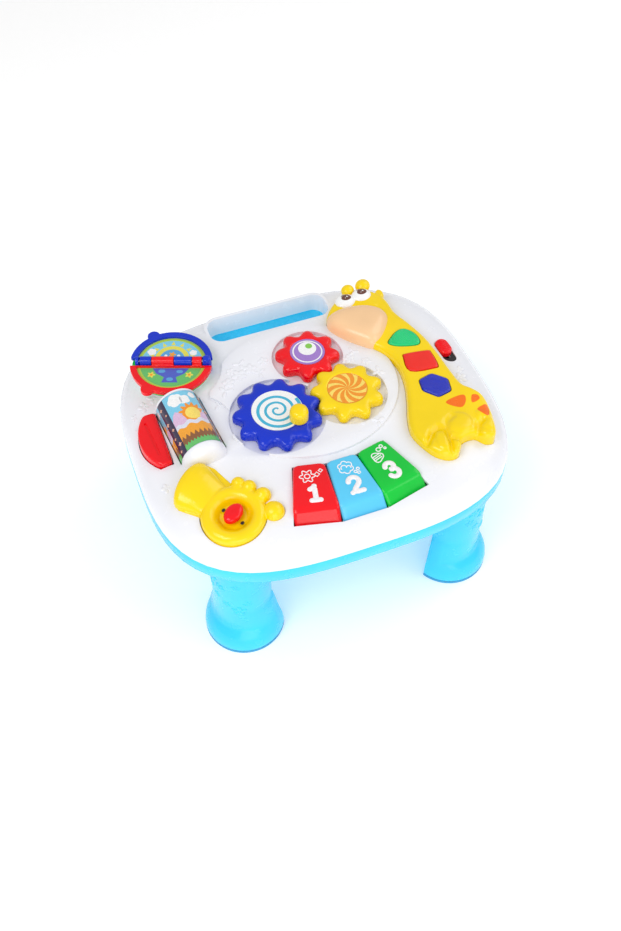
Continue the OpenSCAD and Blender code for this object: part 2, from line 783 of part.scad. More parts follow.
// One half-ring page on side s of the hinge, with two knuckles
module page(s) flip_place() difference() {
    union() {
        intersection() {
            union() {
                disc(page_r, page_z, page_z + page_h);
                translate([-page_r / 2, s * page_r * sin(60), page_z]) cylinder(r = 6, h = page_h);
            }
            translate([-60, s > 0 ? knuckle_r + 0.5 : -60 - knuckle_r - 0.5, page_z - 1])
                cube([120, 60, page_h + 2]);
        }
        for (k = [0, 2]) {
            x0 = knuckle_ends[s > 0 ? k : k + 1];
            x1 = knuckle_ends[s > 0 ? k + 1 : k + 2];
            hinge_rod(x0 + 0.25, x1 - 0.25, knuckle_r);
            translate([x0 + 0.25, s > 0 ? 0 : -knuckle_r - 2, page_z])
                cube([x1 - x0 - 0.5, knuckle_r + 2, page_h + page_gap - 0.5]);
        }
    }
    intersection() {
        disc(page_r - page_frame, page_z + 1.2, page_z + page_h + 1);
        translate([-60, s > 0 ? card_edge : -60 - card_edge, page_z]) cube([120, 60, page_h + 2]);
    }
    hinge_rod(-60, 60, flip_pin_r + run_gap);
}
module page_blue() color(royal) page(1);
module page_red() color(cherry) page(-1);

module card(s) flip_place() intersection() {
    disc(page_r - page_frame, page_z + 1.2, page_z + 2);
    translate([-60, s > 0 ? card_edge : -60 - card_edge, page_z]) cube([120, 60, page_h + 2]);
}
module card_blue() color("#bfe8c8") card(1);
module card_red() color("#bfe8c8") card(-1);

// ---- trumpet

trumpet_z = deck_h + 3;
trumpet_base_z = trumpet_z - 6;
sunk = 3;
module trumpet_body() color(sun) difference() {
    union() {
        trumpet_block(0, seat_z, trumpet_base_z);
        translate([trumpet_pos[0], trumpet_pos[1], trumpet_base_z]) trumpet_lean() intersection() {
            union() {
                translate([0, 0, -sunk]) cylinder(r = trumpet_r - 0.8, h = sunk);
                cylinder(r1 = trumpet_r - 0.8, r2 = trumpet_r - 2.5, h = 3.5);
                translate([0, 0, 3.5]) cylinder(r1 = trumpet_r - 2.5, r2 = trumpet_r - 6, h = 2.5);
                rotate([0, 0, trumpet_turn]) translate([bell_x + 0.5, bell_y, -9]) rotate([0, 90, 0])
                    cylinder(r1 = bell_r - 0.8, r2 = 14, h = 34);
                translate(mouth_at) sphere(mouth_r - 0.5);
                for (k = [0 : 2]) translate(valve_at[k]) valve(valve_rs[k]);
            }
            translate([-60, -60, -sunk]) cube([120, 130, 60]);
        }
    }
    translate([trumpet_pos[0], trumpet_pos[1], 0]) {
        translate([0, 0, trumpet_base_z]) trumpet_lean() cylinder(r1 = 12, r2 = 20, h = 6.5);
        button_plan(side_gap, trumpet_base_z - 1, trumpet_z + 5);
        disc(stem_r + side_gap, seat_z - 1, trumpet_z);
    }
}

// Follows the fall of the deck towards its corner
module trumpet_lean() {
    rotate(a = trumpet_tilt, v = [0.66, -0.75, 0]) children();
}

module valve(r) {
    disc(r, -sunk, 3);
    translate([0, 0, 3]) sphere(r);
}

module button_plan(g, z0, z1) {
    rotate([0, 0, 37]) prism(ellipse_pts(10.5 + g, 7.2 + g, 48), z0, z1);
}

module trumpet_button() color(cherry) translate([trumpet_pos[0], trumpet_pos[1], 0]) {
    button_plan(0, trumpet_base_z + press - 0.4, trumpet_z - 0.5);
    disc(stem_r, key_dome_top + 0.2, trumpet_base_z + press);
    disc(stem_r + 2, key_dome_top + 0.2, seat_z - plate_h - 0.4);
}

// ---- keys

module key(k) key_place(k) difference() {
    union() {
        difference() {
            loft([at_z(key_ring(key_slope, 0), key_top - key_skirt),
                at_z(key_ring(key_slope, 0), key_top - key_skirt + 1),
                at_z(key_ring(0, 0), key_top - 2), at_z(key_ring(0, 0.6), key_top - 0.6),
                at_z(key_ring(0, 2), key_top)]);
            prism(key_inner(), key_top - key_skirt - 1, key_top - key_wall);
            translate([-4, key_axis_y - 5, key_axis_z - 12]) cube([8, 20, 16.5]);
        }
        for (s = [-1, 1]) translate([s * 7.5 - 3, key_axis_y, key_axis_z]) {
            rotate([0, 90, 0]) cylinder(r = 3, h = 6);
            translate([0, -3, 0]) cube([6, 6, key_top - key_axis_z - 1]);
        }
        translate([0, -key_l + 12, 0]) disc(stem_r, key_dome_top + 0.3, key_top - 1);
    }
    translate([-20, key_axis_y, key_axis_z]) rotate([0, 90, 0]) cylinder(r = key_pin_r + run_gap, h = 40);
}

key_dome_top = board_z + board_t + dome_h;
function key_ring(out, inn) = [[-key_back_w / 2 + inn, -inn], [-key_front_w / 2 + inn, -key_l + inn - out],
    [key_front_w / 2 - inn, -key_l + inn - out], [key_back_w / 2 - inn, -inn]];
function key_inner() = [[-key_back_w / 2 + key_wall, 5], [-key_front_w / 2 + key_wall, -key_l + key_wall],
    [key_front_w / 2 - key_wall, -key_l + key_wall], [key_back_w / 2 - key_wall, 5]];

module key_red() color(cherry) key(-1);
module key_blue() color("#58c3ea") key(0);
module key_green() color(leaf) key(1);

module key_pins() color("#c9ccd0") for (k = [-1 : 1]) key_place(k)
    translate([-10.5, key_axis_y, key_axis_z]) rotate([0, 90, 0]) cylinder(r = key_pin_r, h = 21);

board_end = trumpet_pos[0] - 12;
board_y = front_y + 32;
module key_board() color("#2c7a3f") prism([[board_end, board_y], [58, board_y], [56, board_y + 15],
    [board_end + 24, board_y + 15], [board_end + 24, trumpet_pos[1] + 9],
    [board_end, trumpet_pos[1] + 9]], board_z, board_z + board_t);

module contact_dome() color("#4a4a4a") translate([0, 0, board_z + board_t])
    cylinder(r1 = 5, r2 = 3, h = dome_h);

module key_dome(k) key_place(k) translate([0, -key_l + 12]) contact_dome();
module key_dome_red() key_dome(-1);
module key_dome_blue() key_dome(0);
module key_dome_green() key_dome(1);
module trumpet_dome() translate(trumpet_pos) contact_dome();

// ---- giraffe

module giraffe_body() color(sun) difference() {
    pillow(giraffe_pts, seat_z, giraffe_z, giraffe_round);
    prism(smooth(shrink(giraffe_pts, giraffe_wall)), seat_z - 1, giraffe_z - 3);
    for (p = light_plans) prism(shrink(p, -side_gap), giraffe_z - 4 - press, giraffe_z + 2);
    for (e = eye_pos) translate(e) disc(eye_r, giraffe_z - eye_seat, giraffe_z + 5);
    for (s = spot_plans) prism(s, giraffe_z - 1, giraffe_z + 5);
}

spot_plans = [for (p = [[[1, -51.5], [11, -61], [18, -57], [20.5, -49], [12, -48]],
    [[25, -54], [29, -59], [32, -55.5], [28, -51.5]], [[24, -69], [29, -79], [32, -72], [30, -66.5]]])
    smooth(moved(p, giraffe_pos))];

module giraffe_spots() color("#f5821f") for (s = spot_plans) prism(s, giraffe_z - 1, giraffe_z);

module giraffe_muzzle() color("#fcd19c") pillow(muzzle_pts, giraffe_z, giraffe_z + 6, 5.5, 4);

module giraffe_eyes() color("white") difference() {
    for (e = eye_pos) translate(e) intersection() {
        translate([0, 0, giraffe_z - 4]) sphere(10);
        disc(eye_r, giraffe_z - eye_seat, giraffe_z + 10);
    }
    prism(smooth(muzzle_pts), giraffe_z, giraffe_z + 10);
}

module giraffe_horns() color(sun) difference() {
    for (k = [0, 1]) translate(horn_pos[k]) {
        disc(horn_rs[k], deck_h - 8, horn_z);
        translate([0, 0, horn_z]) intersection() {
            sphere(horn_rs[k]);
            translate([-20, -20, -0.01]) cube([40, 40, 20]);
        }
    }
    prism(giraffe_plan, deck_h - 9, giraffe_z);
    for (e = eye_pos) translate(e) disc(eye_r + 0.1, deck_h - 9, giraffe_z + 20);
}

module light_button(k) {
    prism(light_plans[k], giraffe_z - 2.6, giraffe_z + light_rise);
    translate(light_mids[k]) {
        disc(stem_r, key_dome_top + 0.2, giraffe_z - 2.5);
    }
}
module light_button_green() color("#22c084") light_button(0);
module light_button_red() color("#f0403a") light_button(1);
module light_button_blue() color("#3c50c0") light_button(2);

module circuit_board() color("#2c7a3f") prism(moved([[-22, -38], [24, -38], [24, 48], [-22, 48]],
    giraffe_pos), board_z, board_z + board_t);

module light_dome_green() translate(light_mids[0]) contact_dome();
module light_dome_red() translate(light_mids[1]) contact_dome();
module light_dome_blue() translate(light_mids[2]) contact_dome();

module leds() color("#fff3c0") for (m = light_mids) translate([m[0] - 9, m[1], board_z + board_t]) {
    cylinder(r = 2.5, h = 4);
    translate([0, 0, 4]) sphere(2.5);
}

// ---- switch, sound and power

module power_switch() color(cherry) switch_place() translate([0, switch_travel / 2, 0]) {
    round_rect(2 * switch_r, 2 * switch_r + 7, switch_r, switch_seat + 0.3, switch_seat + 6);
    for (k = [-2 : 2]) translate([-switch_r + 1.5, 2.2 * k - 0.6, switch_seat + 5.9])
        cube([2 * switch_r - 3, 1.2, 0.9]);
    disc(2.2, switch_seat - 6, switch_seat + 1);
}

module switch_body() color("#3a3a3a") switch_place() difference() {
    translate([-8, -14, switch_seat - plate_h - 6]) cube([16, 28, 6]);
    round_rect(6, 6 + switch_travel + 2, 3, switch_seat - plate_h - 4, switch_seat);
}

module speaker() color("#3a3a3a") translate(speaker_pos) {
    disc(speaker_r - 0.3, floor_top + 0.5, floor_top + 4);
    translate([0, 0, floor_top + 3.9]) cylinder(r1 = speaker_r - 3, r2 = 11, h = 5);
    disc(11, floor_top + 8.8, floor_top + 13);
}

battery_z = floor_z + door_t + 0.4 + battery_r;
module batteries() color("#3f6fb0") translate([battery_pos[0], battery_pos[1], battery_z])
    for (k = [0 : battery_n - 1]) translate([0, (k - (battery_n - 1) / 2) * (2 * battery_r + 0.5), 0])
        rotate([0, k % 2 == 0 ? 90 : -90, 0]) {
            translate([0, 0, -battery_l / 2]) cylinder(r = battery_r - 0.1, h = battery_l - 1.2);
            translate([0, 0, battery_l / 2 - 1.3]) cylinder(r = 2.7, h = 1.3);
        }

module battery_contacts() color("#d6d6d6") translate([battery_pos[0], battery_pos[1], 0])
    for (s = [-1, 1]) translate([s * (box_w / 2 - 1) - 0.4, -box_d / 2 + 2, floor_z + door_t + 2])
        cube([0.8, box_d - 4, 12]);

module battery_door() color(sky) translate([battery_pos[0], battery_pos[1], floor_z]) difference() {
    union() {
        translate([-box_w / 2 - 0.7, -box_d / 2 - 0.7, 0]) cube([box_w + 1.4, box_d + 1.4, door_t - 0.3]);
        for (k = [-3 : 3]) translate([8 * k - 1, -box_d / 2 + 6, -0.6]) cube([2, box_d - 12, 1]);
    }
}

module door_screw() color("#b8bcc2") translate([battery_pos[0], battery_pos[1] + box_d / 2 + 4.5, 0]) {
    disc(screw_r, floor_z - 0.2, floor_z + 9);
    disc(3, floor_z - 1.8, floor_z - 0.1);
}

module case_screws() color("#b8bcc2") for (s = screws) translate(s) {
    disc(screw_r, floor_z + 5.9, seam_z + 9);
    disc(3, floor_z + 4, floor_z + 6);
}

top_shell();
bottom_shell();
leg_front_left();
leg_front_right();
leg_back_left();
leg_back_right();
foot_pads();
gear_axles();
gear_blue();
gear_yellow();
gear_red();
label_blue();
label_yellow();
label_red();
crank_pin();
crank_peg();
drum();
drum_caps();
drum_axle();
press_bar();
bar_springs();
flip_base();
flip_picture();
flip_pin();
page_blue();
page_red();
card_blue();
card_red();
trumpet_body();
trumpet_button();
key_red();
key_blue();
key_green();
key_pins();
key_board();
key_dome_red();
key_dome_blue();
key_dome_green();
trumpet_dome();
giraffe_body();
giraffe_muzzle();
giraffe_eyes();
giraffe_horns();
giraffe_spots();
light_button_green();
light_button_red();
light_button_blue();
circuit_board();
light_dome_green();
light_dome_red();
light_dome_blue();
leds();
power_switch();
switch_body();
speaker();
batteries();
battery_contacts();
battery_door();
door_screw();
case_screws();
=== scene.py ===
import math

import bmesh
import bpy
import numpy as np
from mathutils import Matrix, Vector
from mathutils.bvhtree import BVHTree
from mathutils.geometry import tessellate_polygon


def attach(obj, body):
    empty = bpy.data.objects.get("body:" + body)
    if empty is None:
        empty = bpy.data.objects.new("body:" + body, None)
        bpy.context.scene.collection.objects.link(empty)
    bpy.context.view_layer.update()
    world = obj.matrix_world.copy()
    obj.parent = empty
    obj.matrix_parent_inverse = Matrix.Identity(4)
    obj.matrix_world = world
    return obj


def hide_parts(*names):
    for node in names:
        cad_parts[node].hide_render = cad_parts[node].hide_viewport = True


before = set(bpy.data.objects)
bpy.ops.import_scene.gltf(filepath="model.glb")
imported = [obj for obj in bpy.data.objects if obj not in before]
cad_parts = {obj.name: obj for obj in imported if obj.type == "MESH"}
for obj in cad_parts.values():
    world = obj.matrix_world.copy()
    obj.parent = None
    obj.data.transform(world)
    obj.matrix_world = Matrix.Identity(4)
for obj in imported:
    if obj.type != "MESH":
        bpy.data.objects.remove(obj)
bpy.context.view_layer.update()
scene = bpy.context.scene
mm = 0.001
print("stage: frame loaded")


# sRGB hex value as linear colour
def paint(code):
    parts = [int(code[i:i + 2], 16) / 255 for i in (1, 3, 5)]
    return tuple(c / 12.92 if c <= 0.04045 else ((c + 0.055) / 1.055) ** 2.4 for c in parts) + (1.0,)


def shade(code, factor):
    parts = [min(255, int(int(code[i:i + 2], 16) * factor)) for i in (1, 3, 5)]
    return "#%02x%02x%02x" % tuple(parts)


def addNode(tree, kind, sockets=None, **settings):
    node = tree.nodes.new(kind)
    for key, value in settings.items():
        setattr(node, key, value)
    for key, value in (sockets or {}).items():
        if isinstance(value, bpy.types.NodeSocket):
            tree.links.new(value, node.inputs[key])
        else:
            node.inputs[key].default_value = value
    return node


# a shader whose colour drifts from dark to full over one pattern, which can also drive its gloss
def startMaterial(name, code, dark, pattern, span=(0.0, 1.0), gloss=None, settings=None, **values):
    material = bpy.data.materials.new(name)
    material.use_nodes = True
    tree = material.node_tree
    tree.nodes.clear()
    shader = addNode(tree, "ShaderNodeBsdfPrincipled")
    for key, value in values.items():
        shader.inputs[key.replace("_", " ")].default_value = value
    addNode(tree, "ShaderNodeOutputMaterial", {0: shader.outputs[0]})
    where = addNode(tree, "ShaderNodeTexCoord").outputs["Object"]
    kind, sizes = pattern
    drift = addNode(tree, kind, {"Vector": where, **sizes}, **(settings or {})).outputs
    drift = drift["Distance"] if "Distance" in drift else drift["Fac"]
    tint = addNode(tree, "ShaderNodeValToRGB", {0: drift})
    for stop, place, colour in zip(tint.color_ramp.elements, span, (shade(code, dark), code)):
        stop.position, stop.color = place, paint(colour)
    tree.links.new(tint.outputs[0], shader.inputs["Base Color"])
    if gloss:
        spread = addNode(tree, "ShaderNodeMapRange", {0: drift, 3: gloss[0], 4: gloss[1]})
        tree.links.new(spread.outputs[0], shader.inputs["Roughness"])
    return material, tree, shader, where, drift


# ABS straight from a polished mould: full colour, a hard gloss with a faint orange-peel ripple
def mouldedAbs(name, code, roughness=0.2, drift=0.05):
    material, tree, shader, where, _ = startMaterial(
        name, code, 1 - drift, ("ShaderNodeTexNoise", {"Scale": 22.0, "Detail": 3.0}), (0.3, 0.7),
        IOR=1.46, Coat_Weight=0.08, Coat_Roughness=0.05)
    wear = addNode(tree, "ShaderNodeTexNoise", {"Vector": where, "Scale": 90.0, "Detail": 4.0})
    gloss = addNode(tree, "ShaderNodeMapRange", {0: wear.outputs["Fac"], 1: 0.3, 2: 0.75,
                                                 3: roughness - 0.05, 4: roughness + 0.07})
    tree.links.new(gloss.outputs[0], shader.inputs["Roughness"])
    peel = addNode(tree, "ShaderNodeTexNoise", {"Vector": where, "Scale": 320.0, "Detail": 1.0})
    bump = addNode(tree, "ShaderNodeBump", {"Height": peel.outputs["Fac"], "Strength": 0.25,
                                            "Distance": 0.00006})
    tree.links.new(bump.outputs[0], shader.inputs["Normal"])
    return material


# varnished offset print on film: flat ink with a trace of dot grain under the clear coat
def printedInk(name, code, roughness=0.3):
    return startMaterial(name, code, 0.95, ("ShaderNodeTexNoise", {"Scale": 900.0, "Detail": 1.0}),
                         (0.35, 0.65), (roughness - 0.03, roughness + 0.05),
                         IOR=1.5, Coat_Weight=0.4, Coat_Roughness=0.1)[0]


# drawn and turned steel: thin bright lines along the turning, small spread of roughness
def turnedSteel(name, code, roughness=0.28):
    lines = ("ShaderNodeTexWave", {"Scale": 400.0, "Distortion": 1.5, "Detail": 2.0})
    return startMaterial(name, code, 0.85, lines, (0.0, 1.0), (roughness - 0.06, roughness + 0.08),
                         {"bands_direction": "Z"}, Metallic=1.0)[0]


# soft elastomer or matt board: no gloss, a fine pebble
def mattRubber(name, code, roughness=0.7, scale=500.0):
    material, tree, shader, _, pebble = startMaterial(
        name, code, 0.88, ("ShaderNodeTexVoronoi", {"Scale": scale}), IOR=1.5, Roughness=roughness)
    bump = addNode(tree, "ShaderNodeBump", {"Height": pebble, "Strength": 0.3, "Distance": 0.0001})
    tree.links.new(bump.outputs[0], shader.inputs["Normal"])
    return material


# tinted polycarbonate lens: colour deep in the body, light passing through its ribs
def tintedLens(name, code):
    return startMaterial(name, code, 0.96, ("ShaderNodeTexNoise", {"Scale": 60.0, "Detail": 2.0}),
                         (0.3, 0.7), (0.26, 0.32), IOR=1.5, Transmission_Weight=0.08, Coat_Weight=0.15,
                         Subsurface_Weight=0.3, Subsurface_Scale=0.003)[0]


whiteAbs = mouldedAbs("whiteAbsMoulded", "#f1f2f8", 0.24, 0.015)
skyAbs = mouldedAbs("skyBlueAbsMoulded", "#36d4fb", 0.24, 0.04)
royalAbs = mouldedAbs("royalBlueAbsMoulded", "#0030cc", 0.2, 0.06)
cherryAbs = mouldedAbs("cherryRedAbsMoulded", "#f80014", 0.2, 0.06)
sunAbs = mouldedAbs("sunYellowAbsMoulded", "#ffdb00", 0.2, 0.04)
leafAbs = mouldedAbs("leafGreenAbsMoulded", "#00cc3c", 0.2, 0.06)
keyBlueAbs = mouldedAbs("paleBlueAbsMoulded", "#5ccef8", 0.2, 0.04)
peachAbs = mouldedAbs("peachAbsMoulded", "#ffd2a0", 0.18, 0.04)
orangeLacquer = mouldedAbs("orangeLacquerSprayed", "#ff7400", 0.26, 0.06)
eyeWhite = mouldedAbs("eyeWhiteLacquerSprayed", "#fbfbfb", 0.16, 0.01)
blackAbs = mouldedAbs("blackAbsMoulded", "#242428", 0.4, 0.1)
pupilBrown = printedInk("pupilBrownPadPrint", "#6b3a2c", 0.2)
inkWhite = printedInk("puffWhiteScreenInk", "#fbf7fa", 0.42)
sleeveBlue = printedInk("batterySleeveShrunk", "#3a62ac", 0.25)
steelTurned = turnedSteel("steelTurned", "#c8cacc")
contactSteel = turnedSteel("contactSteelNickelled", "#dadad6", 0.22)
padRubber = mattRubber("padRubberMoulded", "#3ea8da", 0.6)
siliconeGrey = mattRubber("siliconeMoulded", "#4a4a4c", 0.65)
boardGreen = mattRubber("boardGlassEpoxy", "#256b3a", 0.45, 900.0)
lampEpoxy = tintedLens("lampEpoxyCast", "#fff3c4")
lensGreen = tintedLens("greenPolycarbonateLens", "#00dc84")
lensRed = tintedLens("redPolycarbonateLens", "#ff2414")
lensBlue = tintedLens("bluePolycarbonateLens", "#2434c4")
inkColours = {
    "white": "#fbfbfb", "teal": "#3fb6d8", "orange": "#f8981d", "ray": "#ffe26a", "purple": "#a57fd0",
    "dot": "#86cc4e", "sky": "#7fd0ee", "lilac": "#e2bfe0", "mist": "#dfe2f0", "gold": "#f7a62b",
    "brown": "#8c5a34", "grass": "#66c26a", "night": "#2c2148", "blush": "#f2b79c", "lime": "#b6d84a",
    "lemon": "#e9e154", "pond": "#4a5fc8", "deep": "#58a8e0",
}
inks = {name: printedInk(name + "PrintedInk", code) for name, code in inkColours.items()}
print("stage: materials")


# mesh helpers, all sizes in millimetres
def soften(mesh, angle):
    mesh.shade_smooth()
    mesh.set_sharp_from_angle(angle=math.radians(angle))


def newMesh(name, points, faces, smoothAngle=35.0):
    mesh = bpy.data.meshes.new(name)
    mesh.from_pydata([(p[0] * mm, p[1] * mm, p[2] * mm) for p in points], [], faces)
    mesh.validate()
    soften(mesh, smoothAngle)
    return mesh


def scratch(name, mesh):
    piece = bpy.data.objects.new(name, mesh)
    scene.collection.objects.link(piece)
    return piece


def showPiece(name, mesh, body, slot, *materials, replaces=()):
    piece = scratch(name, mesh)
    for material in materials:
        mesh.materials.append(material)
    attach(piece, body)
    if replaces:
        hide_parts(*replaces)


# turns an object with modifiers into its plain final mesh
def baked(piece, smoothAngle=35.0):
    graph = bpy.context.evaluated_depsgraph_get()
    graph.update()
    mesh = bpy.data.meshes.new_from_object(piece.evaluated_get(graph))
    mesh.name = piece.name
    bpy.data.objects.remove(piece)
    soften(mesh, smoothAngle)
    return mesh


# merged copy of a CAD node, flat areas dissolved so that edges can be rounded
def cadCopy(name, node, flat=0.6):
    build = bmesh.new()
    build.from_mesh(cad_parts[node].data)
    bmesh.ops.remove_doubles(build, verts=build.verts, dist=0.00001)
    bmesh.ops.dissolve_degenerate(build, dist=0.00001, edges=build.edges)
    bmesh.ops.dissolve_limit(build, angle_limit=math.radians(flat), verts=build.verts, edges=build.edges)
    points = [v.co.copy() / mm for v in build.verts]
    build.verts.index_update()
    faces = [[v.index for v in f.verts] for f in build.faces]
    build.free()
    return newMesh(name, points, faces)


def bevelled(mesh, width, segments=2, angle=32.0):
    piece = scratch(mesh.name, mesh)
    edge = piece.modifiers.new("edge", "BEVEL")
    edge.width, edge.segments, edge.limit_method = width * mm, segments, "ANGLE"
    edge.angle_limit, edge.harden_normals, edge.use_clamp_overlap = math.radians(angle), False, True
    return baked(piece, 40.0)


# a CAD node's shape with its edges rounded as a mould leaves them
def dressNode(name, node, body, slot, material, width=0.5, segments=2, angle=32.0, flat=0.6):
    mesh = bevelled(cadCopy(name, node, flat), width, segments, angle)
    showPiece(name, mesh, body, slot, material, replaces=(node,))


# stack of equal-length rings into a closed shape
def loftMesh(name, rings, smoothAngle=35.0):
    count, last = len(rings[0]), len(rings) - 1
    faces = []
    for k in range(last):
        for i in range(count):
            j = (i + 1) % count
            faces.append((k * count + i, k * count + j, (k + 1) * count + j, (k + 1) * count + i))
    faces.append(tuple(range(count - 1, -1, -1)))
    faces.append(tuple(last * count + i for i in range(count)))
    return newMesh(name, [p for ring in rings for p in ring], faces, smoothAngle)


def recalculated(mesh, smoothAngle=35.0):
    build = bmesh.new()
    build.from_mesh(mesh)
    bmesh.ops.remove_doubles(build, verts=build.verts, dist=0.000005)
    bmesh.ops.recalc_face_normals(build, faces=build.faces)
    build.to_mesh(mesh)
    build.free()
    soften(mesh, smoothAngle)
    return mesh


def closedLoft(name, rings, smoothAngle=35.0):
    return recalculated(loftMesh(name, rings, smoothAngle), smoothAngle)


# closed smooth curve through the points
def splinePoints(points, steps=4):
    result = []
    count = len(points)
    for i in range(count):
        a, b, c, d = (np.array(points[(i + k) % count], float) for k in (-1, 0, 1, 2))
        for step in range(steps):
            t = step / steps
            result.append(0.5 * (2 * b + (c - a) * t + (2 * a - 5 * b + 4 * c - d) * t * t
                                 + (3 * b - a - 3 * c + d) * t ** 3))
    return np.array(result)


def insetPoints(points, distance):
    points = np.array(points, float)
    along = np.roll(points, -1, 0) - np.roll(points, 1, 0)
    along /= np.linalg.norm(along, axis=1)[:, None]
    return points + distance * np.stack([-along[:, 1], along[:, 0]], 1)


def atHeight(points, z):
    return [(float(p[0]), float(p[1]), z) for p in points]


# shares of a full turn, and a quarter turn with both ends
def fullTurn(count):
    return [2 * math.pi * i / count for i in range(count)]


def quarterTurn(count=7):
    return [math.radians(90 * k / count) for k in range(count + 1)]


def ovalPoints(x, y, long, wide, count=48):
    return [(x + long * math.cos(a), y + wide * math.sin(a)) for a in fullTurn(count)]


def circlePoints(x, y, radius, count=48):
    return ovalPoints(x, y, radius, radius, count)


def arcPoints(x, y, radius, start, stop, count=16):
    angles = [math.radians(start + (stop - start) * i / count) for i in range(count + 1)]
    return [(x + radius * math.cos(a), y + radius * math.sin(a)) for a in angles]


# loop whose radius swells in even waves, or in round puffs as a cloud's does
def waveLoop(x, y, radius, swell, waves, count=48, puffed=False):
    loop = []
    for a in fullTurn(count):
        r = radius + swell * (abs(math.sin(waves * a)) if puffed else math.cos(waves * a))
        loop.append((x + r * math.cos(a), y + r * math.sin(a)))
    return loop


def boxLoop(x0, y0, x1, y1):
    return [(x0, y0), (x1, y0), (x1, y1), (x0, y1)]


def turned(points, degrees, x=0.0, y=0.0):
    c, s = math.cos(math.radians(degrees)), math.sin(math.radians(degrees))
    return [(x + p[0] * c - p[1] * s, y + p[0] * s + p[1] * c) + tuple(p[2:]) for p in points]


def slotPoints(mid, wide, long, turn=0.0, count=10):
    r = wide / 2
    points = arcPoints(0, long / 2 - r, r, 0, 180, count) + arcPoints(0, -long / 2 + r, r, 180, 360, count)
    return turned(points, turn, *mid)


def wound(loop, positive=True):
    area = sum(a[0] * b[1] - b[0] * a[1] for a, b in zip(loop, list(loop[1:]) + [loop[0]]))
    return list(loop) if (area > 0) == positive else list(loop)[::-1]


# evenly spaced points along a closed outline, corners eased by a running mean
def evenPoints(outline, count, ease):
    outline = np.array(list(outline) + [outline[0]], float)
    steps = np.linalg.norm(np.diff(outline, axis=0), axis=1)
    run = np.concatenate([[0], np.cumsum(steps)])
    wanted = np.linspace(0, run[-1], count, endpoint=False)
    points = np.stack([np.interp(wanted, run, outline[:, k]) for k in (0, 1)], 1)
    for _ in range(ease):
        points = 0.25 * np.roll(points, 1, 0) + 0.5 * points + 0.25 * np.roll(points, -1, 0)
    return points


# parallel lines across an outline, as open paths
def scanLines(outline, step, slant):
    flat = turned([tuple(p) for p in outline], -slant)
    low, high = min(p[1] for p in flat), max(p[1] for p in flat)
    lines = []
    for k in range(1, int((high - low) / step)):
        y = low + k * step
        hits = sorted(a[0] + (b[0] - a[0]) * (y - a[1]) / (b[1] - a[1])
                      for a, b in zip(flat, flat[1:] + flat[:1]) if (a[1] - y) * (b[1] - y) < 0)
        if len(hits) == 2 and hits[1] - hits[0] > 1.5:
            lines.append((turned([(hits[0], y), (hits[1], y)], slant), False))
    return lines


# distance on the plan from a point to an open path
def pathGap(x, y, path):
    best = 1e9
    for (ax, ay), (bx, by) in zip(path, path[1:]):
        dx, dy = bx - ax, by - ay
        t = max(0.0, min(1.0, ((x - ax) * dx + (y - ay) * dy) / (dx * dx + dy * dy)))
        best = min(best, math.hypot(x - ax - t * dx, y - ay - t * dy))
    return best


# thin closed sheet from outlines: the first is the edge and the others are holes
def sheetParts(loops, low, high):
    loops = [wound(loop, k == 0) for k, loop in enumerate(loops)]
    corners = [p for loop in loops for p in loop]
    count = len(corners)
    points = [(p[0], p[1], low) for p in corners] + [(p[0], p[1], high) for p in corners]
    faces = []
    for a, b, c in tessellate_polygon([[Vector((p[0], p[1], 0)) for p in loop] for loop in loops]):
        area = ((corners[b][0] - corners[a][0]) * (corners[c][1] - corners[a][1])
                - (corners[c][0] - corners[a][0]) * (corners[b][1] - corners[a][1]))
        if area < 0:
            b, c = c, b
        faces += [(a + count, b + count, c + count), (c, b, a)]
    start = 0
    for loop in loops:
        size = len(loop)
        for i in range(size):
            j = (i + 1) % size
            faces.append((start + i, start + j, start + j + count, start + i + count))
        start += size
    return points, faces


def joined(name, *meshes, smoothAngle=40.0):
    build = bmesh.new()
    for mesh in meshes:
        build.from_mesh(mesh)
    whole = bpy.data.meshes.new(name)
    build.to_mesh(whole)
    build.free()
    soften(whole, smoothAngle)
    return whole


# first mesh with the others cut out of it
def carved(name, mesh, *cutters, smoothAngle=35.0):
    piece = scratch(name, mesh)
    tools = [scratch("cutter", recalculated(cutter)) for cutter in cutters]
    for tool in tools:
        cut = piece.modifiers.new("cut", "BOOLEAN")
        cut.operation, cut.solver, cut.object = "DIFFERENCE", "EXACT", tool
    result = baked(piece, smoothAngle)
    for tool in tools:
        bpy.data.objects.remove(tool)
    return result


# several closed meshes fused into one skin with soft inner corners
def fused(name, meshes, voxel, rounds):
    piece = scratch(name, joined(name, *meshes))
    grid = piece.modifiers.new("grid", "REMESH")
    grid.mode, grid.voxel_size = "VOXEL", voxel * mm
    ease = piece.modifiers.new("ease", "SMOOTH")
    ease.iterations, ease.factor = rounds, 0.5
    return baked(piece, 80.0)


# dome over an outline: rings shrink towards the middle as they rise
def domeMesh(name, outline, low, base, top, flat=0.55, rings=12, middle=None, full=0.9):
    points = np.array(outline, float)
    centre = np.array(middle if middle is not None else points.mean(0))
    stack = [atHeight(points, low), atHeight(points, base)]
    for k in range(1, rings + 1):
        a = math.radians(89.5 * k / rings)
        stack.append(atHeight(centre + (points - centre) * math.cos(a) ** flat,
                              base + (top - base) * math.sin(a) ** full))
    return closedLoft(name, stack, 80.0)


def ballMesh(name, centre, radii, turn=0.0, rings=20, count=32):
    x, y, z = centre
    stack = []
    for k in range(1, rings):
        a = math.pi * k / rings
        ring = ovalPoints(0, 0, radii[0] * math.sin(a), radii[1] * math.sin(a), count)
        stack.append(turned(atHeight(ring, z - radii[2] * math.cos(a)), turn, x, y))
    return loftMesh(name, stack, 80.0)


